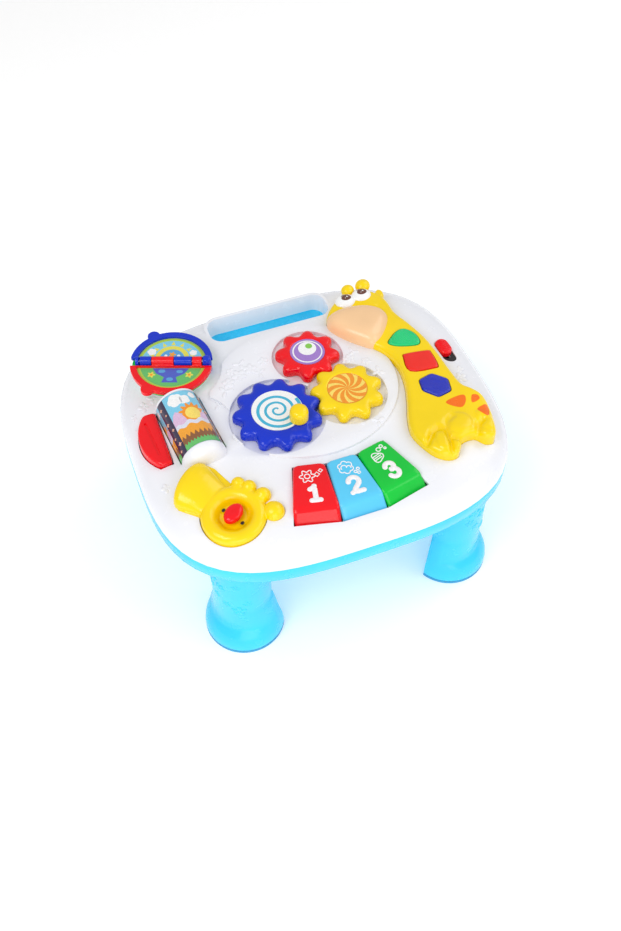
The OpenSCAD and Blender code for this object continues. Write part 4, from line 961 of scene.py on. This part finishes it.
def buildFlipBook():
    flip = {"at": (-108.0, 83.0), "turn": -20.7, "card": 32.5, "edge": 5.8, "cardLow": 169.35,
            "picture": 167.25, "pictureRadius": 30.3, "pin": 1.56, "pinHigh": 173.0, "blueAbove": 168.4}
    lug = {"out": 32.9, "size": 9.4, "low": 162.0, "shoulder": 172.0, "top": 178.0, "room": (26, 30.1, 6.0)}

    def laid(z):
        return lambda px, py, pz: (*turned([(px, py)], flip["turn"], *flip["at"])[0], z + pz)

    pin = rodMesh("pinBore", flip["at"], flip["turn"], flip["pinHigh"], -60, 60, flip["pin"])
    for name, slot, material in (("blue", "royal_blue_plastic", royalAbs),
                                 ("red", "red_plastic", cherryAbs)):
        piece, node = name + "PageRing", "page_" + name
        mesh = carved(piece, fused(piece, [cadCopy(piece, node)], 0.42, 4), pin.copy(), smoothAngle=60.0)
        showPiece(piece, mesh, name + "_page", slot, material, replaces=(node,))
    base = bevelled(cadCopy("flipStandRing", "flip_base"), 0.4)
    for face in base.polygons:  # green ring with blue lugs
        face.material_index = 1 if face.center.z / mm > flip["blueAbove"] else 0
    showPiece("flipStandRing", base, "table", "royal_blue_plastic", leafAbs, royalAbs,
              replaces=("flip_base",))
    outline = turned(slotPoints((lug["out"], 0.0), lug["size"], lug["size"]), flip["turn"], *flip["at"])
    mesh = domeMesh("hingeLug", outline, lug["low"], lug["shoulder"], lug["top"], 0.35, 8)
    inner = rodMesh("lugRoom", flip["at"], flip["turn"], flip["pinHigh"], *lug["room"])
    showPiece("hingeLug", carved("hingeLug", mesh, inner, pin.copy(), smoothAngle=60.0), "table",
              "royal_blue_plastic", royalAbs)

    def half(radius, low, side):
        start = math.degrees(math.asin(low / radius))
        return [(p[0], p[1] * side) for p in arcPoints(0, 0, radius, start, 180 - start, 48)]

    edge, card = flip["edge"] + 0.15, flip["card"]
    rays = []
    for k in range(7):
        a = math.radians(12 + 26 * k)
        rays.append([[(r * math.cos(a + off), edge + r * math.sin(a + off))
                      for r, off in ((17.5, -0.12), (22.5, 0), (17.5, 0.12))]])
    pond = [(-17, -edge - 0.3), (-13, -13), (-5.5, -17.5), (-7.5, -24), (7.5, -24), (5.5, -17.5), (13, -13),
            (17, -edge - 0.3)]
    upper = [
        ("lime", [[half(card - 0.1, edge, 1)]]),
        ("sky", [[half(card - 3.4, edge + 0.3, 1)]]),
        ("lemon", [[arcPoints(0, edge + 0.3, 16, 0, 180, 30)]] + rays),
        ("deep", [[arcPoints(0, edge + 0.3, 11.5, 0, 180, 30)]]),
        ("white", [[waveLoop(-19.5, 14.5, 3.6, 0.8, 2.5, 40, True)],
                   [waveLoop(19.5, 13.5, 3.0, 0.7, 2.5, 40, True)]]),
        ("gold", [[waveLoop(0, edge + 5.2, 2.6, 0.9, 5, 40)]]),
        ("white", [[circlePoints(x, edge + 3.6, 1.5, 20)] for x in (-6, 6)]),
    ]
    lower = [
        ("lime", [[half(card - 0.1, edge, -1)]]),
        ("grass", [[half(card - 3.4, edge + 0.3, -1)]]),
        ("pond", [[pond]]),
        ("deep", [[waveLoop(-8, -10, 2.6, 0.6, 2, 30)], [waveLoop(8.5, -10.5, 2.4, 0.6, 2, 30)],
                  [waveLoop(0, -20, 2.6, 0.5, 2, 30)]]),
        ("lemon", [[waveLoop(x, -14.5, 3.0, 0.9, 5, 40)] for x in (-17.5, 17.5)]),
        ("orange", [[circlePoints(x, -14.5, 1.3, 20)] for x in (-17.5, 17.5)]),
    ]
    for piece, layers, name in (("upperCardPrint", upper, "blue"), ("lowerCardPrint", lower, "red")):
        printPiece(piece, layers, laid(flip["cardLow"]), name + "_page", "printed_film",
                   ("card_" + name,), 0.7)
    r = flip["pictureRadius"]
    printPiece("standPicture", [
        ("sky", [[circlePoints(0, 0, r, 72)]]), ("grass", [[arcPoints(0, 0, r - 0.2, 200, 340, 30)]]),
        ("lemon", [[circlePoints(8, 14, 6, 30)]])],
        laid(flip["picture"]), "table", "printed_film", ("flip_picture",), 0.32)


def buildTrumpet():
    horn = {"at": (-105.0, -93.0), "base": 157.0, "turn": -47.3, "lean": 5.0, "ball": (33.0, -9.0),
            "round": 28.9, "low": -8.0, "valves": ((13.5, 28.0, 4.9), (21.0, 21.0, 5.3), (29.5, 9.0, 5.9)),
            "bellHalf": 24.0, "bellMid": 9.5, "stem": 4.0, "stemHole": 4.6, "oval": (10.5, 7.2),
            "ovalTurn": 37.0, "cap": (158.9, 160.8, 164.6), "foot": 6.0, "footLow": 142.9,
            "footHigh": 147.5, "stemHigh": 160.0}
    axis = Matrix.Rotation(math.radians(horn["lean"]), 3, Vector((0.66, -0.75, 0)).normalized())

    def leaned(mesh):
        for v in mesh.vertices:
            v.co = (axis @ (v.co / mm) + Vector((*horn["at"], horn["base"]))) * mm
        return mesh

    profile = [(0.5, -3.0), (28.0, -3.0), (28.5, 0.0), (28.2, 2.2), (27.2, 4.1), (25.4, 5.6), (23.2, 6.4),
               (21.0, 6.5), (19.0, 5.9), (17.2, 4.7), (15.6, 3.0), (14.2, 1.0), (12.8, -0.9), (11.6, -1.8),
               (0.5, -1.9)]
    ring = closedLoft("hornRing", [atHeight(circlePoints(0, 0, r, 80), z) for r, z in profile])
    # along the bell: how far out, share of the width, height, sideways drift
    sections = [(-50.0, 0.50, 7.0, 0.0), (-51.5, 0.74, 10.0, 0.0), (-51.0, 0.90, 12.0, 0.0),
                (-49.0, 0.985, 13.4, 0.0), (-46.0, 1.0, 13.8, 0.2), (-42.0, 0.97, 13.2, 0.6),
                (-37.0, 0.90, 11.8, 1.2), (-32.0, 0.83, 10.0, 2.0), (-27.0, 0.78, 7.8, 3.0),
                (-22.0, 0.74, 5.4, 4.2), (-17.5, 0.70, 3.0, 5.0)]
    stack = []
    for x, grow, high, drift in sections:
        row = []
        for a in fullTurn(48):
            side = math.copysign(abs(math.cos(a)) ** 0.86, math.cos(a)) * horn["bellHalf"] * grow
            up = math.sin(a)
            height = high * abs(up) ** 0.85 if up > 0 else -3.0 * abs(up) ** 0.5
            bulge = 4.0 * (1 - (side / 24.5) ** 2) * max(0.0, min(1.0, (-34 - x) / 14))
            row.append((x - bulge, horn["bellMid"] - drift + side, height))
        stack.append(turned(row, horn["turn"]))
    seat = turned([(-46.2, -15.2), (-38, -15.2), (-16, -14.2), (-16, 26.2), (-38, 34.2), (-46.2, 34.2)],
                  horn["turn"])
    parts = [ring, closedLoft("hornBell", stack, 80.0),
             ballMesh("hornBall", (*horn["ball"], 0.5), (9.3, 9.3, 8.6)),
             loftMesh("hornSeat", [atHeight(seat, z) for z in (horn["low"], 0.8)]),
             discMesh("hornRound", 0, 0, horn["round"], horn["low"], -2.0),
             discMesh("hornFoot", *horn["ball"], 9.4, horn["low"], 1.0)]
    for x, y, r in horn["valves"]:
        parts += [ballMesh("hornValve", (x, y, 1.0), (r + 1.4, r + 1.4, r + 2.2)),
                  discMesh("hornValveFoot", x, y, r + 0.2, horn["low"], 1.0),
                  ballMesh("hornCollar", (x * 0.84, y * 0.84, 0.5), (r + 2.2, r + 2.2, 6.4))]
    skin = fused("trumpetMoulded", [leaned(mesh) for mesh in parts], 0.55, 6)
    hole = discMesh("stemHole", *horn["at"], horn["stemHole"], 130.0, 175.0)
    showPiece("trumpetMoulded", carved("trumpetMoulded", skin, hole, smoothAngle=70.0), "table",
              "yellow_plastic", sunAbs, replaces=("trumpet_body",))

    oval = turned(ovalPoints(0, 0, *horn["oval"]), horn["ovalTurn"], *horn["at"])
    push = joined("trumpetOval", domeMesh("trumpetOval", oval, *horn["cap"], 0.5, 10),
                  discMesh("trumpetStem", *horn["at"], horn["stem"], horn["footLow"], horn["stemHigh"]),
                  discMesh("trumpetFoot", *horn["at"], horn["foot"], horn["footLow"], horn["footHigh"]),
                  smoothAngle=50.0)
    showPiece("trumpetOval", push, "trumpet_push", "red_plastic", cherryAbs, replaces=("trumpet_button",))
    # two small black discs down in the dish beside the button: painted shade standing for the dark holes at
    # its sides
    slotShades = [ballMesh("buttonSlot", (horn["at"][0] + x, horn["at"][1] + y, z), (1.9, 1.5, 0.6),
                      horn["ovalTurn"], 10, 20) for x, y, z in ((-6.3, 8.6, 157.0), (4.7, -8.7, 156.0))]
    showPiece("buttonSlots", joined("buttonSlots", *slotShades), "table", "black_plastic", blackAbs)


def buildKeys():
    fan = {"x": 1.0, "y": 64.0, "r": 135.0, "step": 12.4, "back": 28.4, "front": 41.0, "length": 55.0,
           "top": 164.0, "skirt": 20.0, "wall": 2.2, "round": 3.4, "lean": 4.2, "axisY": -4.0,
           "axisZ": 155.0, "lug": 3.0, "bore": 1.57, "lugAt": 7.5, "web": (157.2, 162.5),
           "room": (11.8, 3.4, 3.0), "roomTop": 2.3, "stem": 4.0, "stemIn": 12.0, "stemLow": 143.1,
           "shoulder": 2.4, "dip": 0.9, "steps": 8, "number": (0.2, -32.4), "motif": (-0.6, -14.0)}
    skins = {"red": (-1, cherryAbs, "red_plastic"), "blue": (0, keyBlueAbs, "light_blue_plastic"),
             "green": (1, leafAbs, "green_plastic")}

    # plan of a key with rounded corners: inset all round, and how far its front passes its length
    def plan(inset, front, corner):
        b, f, n = fan["back"] / 2 - inset, fan["front"] / 2 - inset, fan["length"] - inset + front
        ends = [(-b, -inset), (-f, -n), (f, -n), (b, -inset)]
        points = []
        for i in range(4):
            here = np.array(ends[i])
            before, after = np.array(ends[i - 1]) - here, np.array(ends[(i + 1) % 4]) - here
            before, after = before / np.linalg.norm(before), after / np.linalg.norm(after)
            for j in range(fan["steps"] + 1):
                t = j / fan["steps"]
                points.append(here + before * corner * (1 - t) ** 2 + after * corner * t ** 2)
        return np.array(points)

    digits = {
        "red": [([(-3.0, 4.4), (0.9, 7.4), (0.9, 4.0), (0.9, 0.0), (0.9, -4.0), (0.9, -7.4)], False),
                ([(-2.8, -7.4), (0.9, -7.4), (4.6, -7.4)], False)],
        "blue": [(arcPoints(0, 3.4, 4.6, 170, -40, 14)
                  + [(-1.0, -4.0), (-4.8, -7.6), (0.0, -7.6), (5.2, -7.6)], False)],
        "green": [(arcPoints(0, 3.7, 3.9, 165, -90, 14) + arcPoints(0, -3.9, 4.4, 90, -165, 14), False)],
    }
    motifs = {
        "red": [(waveLoop(-2.6, 0, 5.6, 1.3, 6, 60), True), (circlePoints(-2.6, 0, 2.4, 24), True),
                ([(6.0, 3.4), (8.4, 1.0), (6.0, -1.4), (3.6, 1.0)], True),
                ([(9.6, 6.6), (11.4, 4.8), (9.6, 3.0), (7.8, 4.8)], True)],
        "blue": [(waveLoop(0, 1.5, 5.4, 1.5, 3, 72, True), True),
                 (arcPoints(-1.5, 1.6, 2.6, 20, 200, 10), False),
                 (arcPoints(2.6, 0.6, 1.9, -20, 160, 10), False)]
                + [(circlePoints(x, y, 1.3, 14), True) for x, y in ((6.5, -5.6), (9.6, -3.2), (9.0, -7.4))],
        "green": [(waveLoop(-1.8, -1.0, 5.0, 0.7, 3), True)]
                 + [([(-5.4, y), (1.8, y + 0.9)], False) for y in (-3.2, -1.2, 0.8)]
                 + [(circlePoints(x, y, r, 18), True)
                    for x, y, r in ((3.6, 5.6, 2.0), (7.6, 7.6, 1.5), (9.6, 4.0, 1.0))],
    }
    for name, (k, skin, slot) in skins.items():
        turn, top, low = fan["step"] * k, fan["top"], fan["top"] - fan["skirt"]
        base = turned([(0, -fan["r"])], turn, fan["x"], fan["y"])[0]
        piece = name + "KeyBlock"

        def placed(points, z):
            return atHeight(turned([tuple(p) for p in points], turn, *base), z)

        def spot(x, y):
            return turned([(x, y)], turn, *base)[0]

        # inside first, then up the outside: inset, front, corner and height
        levels = [(fan["wall"], -9.0, 2.0, top - 5.0), (fan["wall"], 2.4, 2.0, low), (0, 4.0, 1.2, low),
                  (0, 3.9, 2.2, low + 8.6), (0, 3.0, 4.0, low + 10.6),
                  (0, -fan["lean"], 5.0, top - fan["round"])]
        rings = [placed(plan(inset, front, corner), z) for inset, front, corner, z in levels]
        for a in quarterTurn(8)[1:]:
            over = 1 - math.cos(a)
            front = -fan["lean"] - fan["lean"] * over - fan["dip"] * math.sin(a)
            outline = plan(fan["shoulder"] * over, front, 5.0)
            rings.append(placed(outline, top - fan["round"] + fan["round"] * math.sin(a)))
        block = closedLoft(piece, [ring[::-1] for ring in rings], 50.0)
        wide, front, back = fan["room"]
        room = [placed(boxLoop(-wide, -front, wide, back), z) for z in (low - 2, top - fan["roomTop"])]
        parts = [carved(piece, block, loftMesh("keyRoom", room), smoothAngle=50.0)]
        for side in (-fan["lugAt"], fan["lugAt"]):
            at = spot(side, fan["axisY"])
            eye = rodMesh("keyLug", at, turn, fan["axisZ"], -3, 3, fan["lug"])
            bore = rodMesh("keyBore", at, turn, fan["axisZ"], -6, 6, fan["bore"])
            web = boxLoop(side - 3, fan["axisY"] - 2.6, side + 3, fan["axisY"] + 0.4)
            rise = closedLoft("keyRise", [placed(web, z) for z in fan["web"]])
            parts += [carved("keyLug", eye, bore), rise]
        stemAt = spot(0, fan["stemIn"] - fan["length"])
        parts.append(discMesh("keyStem", *stemAt, fan["stem"], fan["stemLow"], fan["web"][1]))
        showPiece(piece, joined(piece, *parts, smoothAngle=50.0), name + "_key", slot, skin,
                  replaces=("key_" + name,))
        number, motif = name + "KeyNumber", name + "KeyMotif"
        puff = strokes(number, digits[name], 2.5, 0.5, (*spot(*fan["number"]), top - 0.1), turn, inkWhite)
        showPiece(number, fused(number, [puff], 0.3, 3), name + "_key", slot, inkWhite)
        line = strokes(motif, motifs[name], 0.52, 0.7, (*spot(*fan["motif"]), top), turn, inkWhite)
        showPiece(motif, line, name + "_key", slot)


def buildGiraffe():
    skinTop = {"low": 151.3, "top": 170.0, "round": 5.6, "inset": 5.0, "lobe": 8.0}
    body = [(48.5, 80), (53, 70), (61, 58.5), (69, 49.5), (78.5, 40), (86.5, 27.5), (90.5, 9), (88, -12),
            (81, -33), (74, -50), (69.5, -68), (73, -84), (80, -98), (90, -105), (100, -104), (107, -93),
            (121, -91), (129, -98), (138, -98), (143, -88), (147, -70), (148, -53), (143, -42), (136, -33),
            (133.5, -12), (132, 12), (129, 34), (122.5, 56), (116, 74), (115, 90), (111, 103), (100, 113),
            (80, 112.5), (63, 106), (51, 92)]
    lobes = {  # outline, low and high
        "rump": ([(99, -70), (101, -84), (109, -90), (121, -87), (127, -78), (123, -66), (110, -62)],
                 155, 171.8),
        "foreleg": ([(86, -76), (83, -88), (83, -97), (89, -102), (96, -99), (97, -91), (95, -79)],
                    154, 171.8),
        "secondLeg": ([(97, -88), (97, -97), (100, -101), (104, -99), (106, -94), (103, -87)], 154, 170.6),
        "hindLeg": ([(130, -66), (128, -82), (130, -92), (134, -96), (140, -94), (143, -84), (142, -69)],
                    154, 171.4),
        "cheek": ([(57, 94), (62, 103), (80, 110), (98, 110), (109, 102), (111, 90), (104, 82), (84, 92)],
                  155, 171.2),
        "ear": ([(107, 100), (108, 107), (112, 111), (116, 108), (116, 101), (112, 96)], 156, 169.0),
    }
    creases = {  # depth and half width, then the path
        "leg": (3.4, 2.8, [(77, -87), (82, -82), (86, -77.5), (93, -75), (98.5, -77)]),
        "toe": (3.4, 2.3, [(92, -109), (95, -98), (97.5, -86), (98.5, -77)]),
        "secondToe": (3.2, 2.4, [(109, -99), (104.5, -93), (99, -89.5)]),
        "rump": (2.0, 3.0, [(98.5, -77), (103, -71.5), (110, -68)]),
        "hindLeg": (3.2, 3.0, [(121, -101), (124, -91), (128, -84), (134, -80.5)]),
    }
    lights = {  # outline, place of the stem, material, round outline, slant of the ribs if it has any
        "green": ([(92, 35.5), (97, 30), (107, 26), (117, 24), (121, 27.5), (121, 36), (117.5, 43.5),
                   (111.5, 48), (104, 46), (97, 41)], (112, 32), lensGreen, True, 35.0),
        "red": ([(97, -4.5), (119, -9), (124, -6.5), (124.5, 10), (122, 13.5), (101.5, 16.5), (98, 13.5)],
                (110, 2), lensRed, True, None),
        "blue": ([(97.5, -31), (108, -43), (122, -40), (125, -26), (113.5, -14.5), (99.5, -18)],
                 (111, -28), lensBlue, False, -20.0),
    }
    stack = [atHeight(splinePoints(body), skinTop["low"])]
    for a in quarterTurn():
        inner = splinePoints(insetPoints(body, 0.1 + skinTop["inset"] * (1 - math.cos(a))))
        stack.append(atHeight(inner, skinTop["top"] - skinTop["round"] + skinTop["round"] * math.sin(a)))
    parts = [closedLoft("giraffeTrunk", stack, 80.0)]
    for name, (outline, low, high) in lobes.items():
        plan = splinePoints(wound(outline))
        parts.append(domeMesh(name, plan, low, high - skinTop["lobe"], high, 0.42))
    skin = fused("giraffeMoulded", parts, 0.7, 9)
    # the creases reach only the legs, and fade out down their sides
    feet = {"before": -55, "above": 157, "fade": 8}
    for v in skin.vertices:
        x, y, z = v.co / mm
        if y < feet["before"] and z > feet["above"]:
            sink = max(deep * math.exp(-(pathGap(x, y, path) / wide) ** 2)
                       for deep, wide, path in creases.values())
            v.co.z -= sink * min(1.0, (z - feet["above"]) / feet["fade"]) * mm
    plans = {}
    for name, (outline, _, _, isRound, _) in lights.items():
        plans[name] = splinePoints(wound(outline)) if isRound else evenPoints(wound(outline), 60, 2)
    lens = {"gap": 0.75, "low": 167.4, "shoulder": 169.9, "top": 171.6, "stem": 4.0, "stemLow": 142.9,
            "stemHigh": 168.0, "ribIn": 1.5, "ribStep": 1.55, "rib": 0.5, "ribAt": 171.35}
    wells = [loftMesh("lightWell", [atHeight(insetPoints(plan, -lens["gap"]), z) for z in (149.0, 180.0)])
             for plan in plans.values()]
    showPiece("giraffeMoulded", carved("giraffeMoulded", skin, *wells, smoothAngle=70.0), "table",
              "yellow_plastic", sunAbs, replaces=("giraffe_body",))

    for name, (_, mid, material, _, slant) in lights.items():
        plan, piece, body, slot = plans[name], name + "LightLens", name + "_light", name + "_lens"
        if slant is not None:
            lines = scanLines(insetPoints(plan, lens["ribIn"]), lens["ribStep"], slant)
            ribs = strokes(name + "LightRibs", lines, lens["rib"], 0.9, (0, 0, lens["ribAt"]), 0, material)
            showPiece(name + "LightRibs", ribs, body, slot)
        cap = domeMesh(piece, plan, lens["low"], lens["shoulder"], lens["top"], 0.12, 10, None, 1.0)
        stem = discMesh("lightStem", *mid, lens["stem"], lens["stemLow"], lens["stemHigh"])
        showPiece(piece, joined(piece, cap, stem, smoothAngle=45.0), body, slot, material,
                  replaces=("light_button_" + name,))

    muzzle = [(47.9, 79.5), (52.3, 69), (60.3, 57.5), (68.4, 48.6), (78.6, 39.8), (88.5, 43.5), (100, 56),
              (107, 69), (105.5, 80.5), (97, 89), (86, 93.5), (72, 95.5), (60, 94.5), (50.5, 89.5)]
    cushion = domeMesh("giraffeMuzzleCushion", splinePoints(muzzle, 6), 158.0, 163.0, 177.0, 0.5, 20,
                       (77.5, 69))
    showPiece("giraffeMuzzleCushion", cushion, "table", "peach_plastic", peachAbs,
              replaces=("giraffe_muzzle",))
    horn = {"ball": 168.4, "neckLow": 150.0, "neckHigh": 166.5, "step": 0.6, "flat": 0.86, "turn": 20.0}
    horns = []
    for x, y, r in ((83.5, 118, 6.2), (100, 119, 7.2)):
        horns += [ballMesh("hornTip", (x, y, horn["ball"]), (r + horn["step"], r, r * horn["flat"]),
                           horn["turn"], 24, 40),
                  discMesh("hornNeck", x, y, r - horn["step"], horn["neckLow"], horn["neckHigh"])]
    showPiece("giraffeHornBalls", fused("giraffeHornBalls", horns, 0.5, 3), "table", "yellow_plastic",
              sunAbs, replaces=("giraffe_horns",))

    eyes = {"left": (75.0, 102.6, 10.6, 9.0), "right": (92.6, 104.8, 10.2, 8.8)}  # middle and half sizes
    eye = {"rise": 4.6, "low": 169.8, "turn": 8.0, "pupil": (5.2, 4.0), "pupilTurn": 12.0}
    whites = [ballMesh("eyeWhite", (x, y, eye["low"]), (long, wide, eye["rise"]), eye["turn"], 24, 48)
              for x, y, long, wide in eyes.values()]
    showPiece("giraffeEyeWhites", fused("giraffeEyeWhites", whites, 0.4, 3), "table", "white_gloss",
              eyeWhite, replaces=("giraffe_eyes",))

    # thin patch that lies on the round of an eye
    def eyePrint(side, outline, lift):
        x, y, long, wide = eyes[side]
        middle = np.mean(outline, axis=0)
        rings = []
        for grow, sink in ((1.0, 0.35), (0.97, 0), (0.7, 0), (0.4, 0), (0.12, 0)):
            ring = []
            for px, py in middle + (np.array(outline) - middle) * grow:
                share = max(0.0, 1 - ((px - x) / long) ** 2 - ((py - y) / wide) ** 2)
                ring.append((px, py, eye["low"] + eye["rise"] * math.sqrt(share) + lift - sink))
            rings.append(ring)
        return recalculated(loftMesh("eyePrint", rings, 60.0))

    pupils, glints = [], []
    for side, x, y in (("left", 76.2, 103.8), ("right", 93.8, 106.2)):
        oval = turned(ovalPoints(0, 0, *eye["pupil"], 40), eye["pupilTurn"], x, y)
        brow = arcPoints(x, y - 0.6, 6.0, 140, 50, 14) + arcPoints(x, y - 0.6, 5.3, 50, 140, 14)
        pupils += [eyePrint(side, oval, 0.18), eyePrint(side, brow, 0.12)]
        glints += [eyePrint(side, circlePoints(x + 1.1, y + 0.7, 0.85, 24), 0.3),
                   eyePrint(side, circlePoints(x - 1.3, y - 1.0, 0.4, 16), 0.3)]
    showPiece("giraffePupils", joined("giraffePupils", *pupils), "table", "white_gloss", pupilBrown)
    showPiece("giraffeEyeGlints", joined("giraffeEyeGlints", *glints), "table", "white_gloss", eyeWhite)

    spots = {"mid": [(111, -51.5), (121, -61), (128, -57), (130.5, -49), (122, -48)],
             "small": [(133.5, -59.5), (141.5, -58), (141.8, -53), (137, -51.5)],
             "edge": [(134, -69), (139, -79), (143.5, -74), (144.5, -66.5), (140, -66)]}
    surface = surfaceOf("giraffeMoulded")
    marks = [drapedMesh("giraffeSpot", splinePoints(wound(outline), 5), surface, 0.16)
             for outline in spots.values()]
    showPiece("giraffeSpotPaint", joined("giraffeSpotPaint", *marks, smoothAngle=60.0), "table",
              "orange_plastic", orangeLacquer, replaces=("giraffe_spots",))


def buildSwitch():
    knob = {"at": (145.0, 18.0), "turn": 3.0, "slide": 4.5, "wide": 13.0, "long": 20.0, "low": 154.3,
            "top": 160.4, "inset": 2.4, "round": 2.0, "stem": (2.2, 148.0, 155.2)}
    well = {"wide": 13.9, "long": 30.9, "slotWide": 5.2, "slotLong": 15.0, "low": 153.7, "high": 154.1}
    mid = turned([(0, knob["slide"])], knob["turn"], *knob["at"])[0]

    def level(cut, z):
        return atHeight(slotPoints(mid, knob["wide"] - cut, knob["long"] - cut, knob["turn"], 16), z)

    rings = [level(0.2, knob["low"])]
    for a in quarterTurn():
        rings.append(level(2 * knob["inset"] * (1 - math.cos(a)),
                           knob["top"] - knob["round"] + knob["round"] * math.sin(a)))
    ribs = grown("switchRibs", ribRule, Count=6.0, Step=2.4 * mm, Length=4.6 * mm, Radius=0.75 * mm,
                 Turn=math.radians(knob["turn"]), X=mid[0] * mm, Y=mid[1] * mm, Z=(knob["top"] - 0.05) * mm,
                 Material=cherryAbs)
    whole = joined("switchKnob", loftMesh("switchKnob", rings, 60.0), ribs,
                   discMesh("switchStem", *mid, *knob["stem"]), smoothAngle=60.0)
    showPiece("switchKnob", whole, "switch", "red_plastic", cherryAbs, replaces=("power_switch",))
    # black sheet on the recess floor round the knob: painted shade, since the floor there is white and only
    # lies in shadow
    shadeOutline = slotPoints(knob["at"], well["wide"], well["long"], knob["turn"], 14)
    inner = slotPoints(knob["at"], well["slotWide"], well["slotLong"], knob["turn"], 14)
    sheet = newMesh("switchWellFloor", *sheetParts([shadeOutline, inner], well["low"], well["high"]))
    showPiece("switchWellFloor", sheet, "table", "black_plastic", blackAbs)


# raised flowers, leaves and dots: place, size and swing of each
def buildRelief():
    surface = surfaceOf("deckShell")
    petalled = [(-64, 47, 0.95, 10), (-52, 53, 1.1, 40), (-40, 57, 1.0, 75), (-25, 62, 0.8, 20),
                (-58, 60, 0.7, 55), (52, 36, 0.9, 15), (66, 28, 0.7, 50), (-144, 51, 1.0, 30),
                (-155, 44, 0.7, 70), (143, -19, 1.0, 20), (147, -8, 0.7, 60), (-150, -44, 0.8, 35),
                (60, -8, 0.8, 25)]
    leaves = [(-70, 38, 1.0, 120), (-47, 66, 0.9, 160), (-33, 49, 0.9, 30), (59, 44, 0.8, 100),
              (72, 12, 0.9, 80), (66, -20, 0.9, 60), (-135, 57, 0.8, 20), (139, -30, 0.8, 100),
              (-142, -57, 0.8, 60), (48, -44, 0.9, 20), (-80, 26, 0.8, 100)]
    dots = [(34, -42, 0.9, 0), (42, -47, 0.7, 0), (54, -36, 0.8, 0), (28, -50, 0.6, 0), (-76, 52, 0.7, 0),
            (-20, 52, 0.5, 0), (-158, 30, 0.7, 0), (-146, -66, 0.8, 0), (150, -28, 0.6, 0), (74, 0, 0.6, 0)]
    onLeg = [(-17, 101, 1.25, 10), (-7, 93, 1.0, 50), (-20, 86, 0.9, 30), (9, 100, 0.8, 20),
             (10, 60, 1.35, 15), (-2, 68, 0.8, 60), (18, 72, 0.8, 35), (-12, 76, 0.8, 5)]
    # petals, then length, width, height and heart in millimetres
    for name, rows, sizes in (("deckFlowers", petalled, (5, 3.4, 2.5, 1.0, 2.0)),
                              ("deckLeaves", leaves, (3, 3.9, 2.0, 0.9, 1.2)),
                              ("deckDots", dots, (1, 0.6, 0.6, 0.3, 2.2))):
        points = [((x, y, heightAt(surface, x, y)), size, swing) for x, y, size, swing in rows]
        showPiece(name, flowers(name, points, *sizes, whiteAbs), "table", "white_shell")
    for name, (side, end, turn) in legCorners.items():
        piece = "legRelief" + name.title().replace("_", "")
        points = [((x, y, 0), size, swing) for x, y, size, swing in onLeg]
        mesh = flowers(piece, points, 5, 2.9, 1.9, 0.9, 1.6, skyAbs)
        for v in mesh.vertices:  # wrapped round the neck of the leg
            u, high, out = v.co / mm
            r, a = leg["relief"] + out, u / leg["relief"]
            spot = turned([(r * math.sin(a), -r * math.cos(a))], turn, side * leg["at"][0],
                          end * leg["at"][1])
            v.co = Vector((*spot[0], high)) * mm
        showPiece(piece, mesh, "table", "sky_blue_plastic")


finishNodes()
for stage, build in (("shells and legs", buildTable), ("gears", buildGears), ("drum and bar", buildDrum),
                     ("flip book", buildFlipBook), ("trumpet", buildTrumpet), ("keys", buildKeys),
                     ("giraffe", buildGiraffe), ("switch", buildSwitch), ("relief", buildRelief)):
    build()
    print("stage: " + stage)
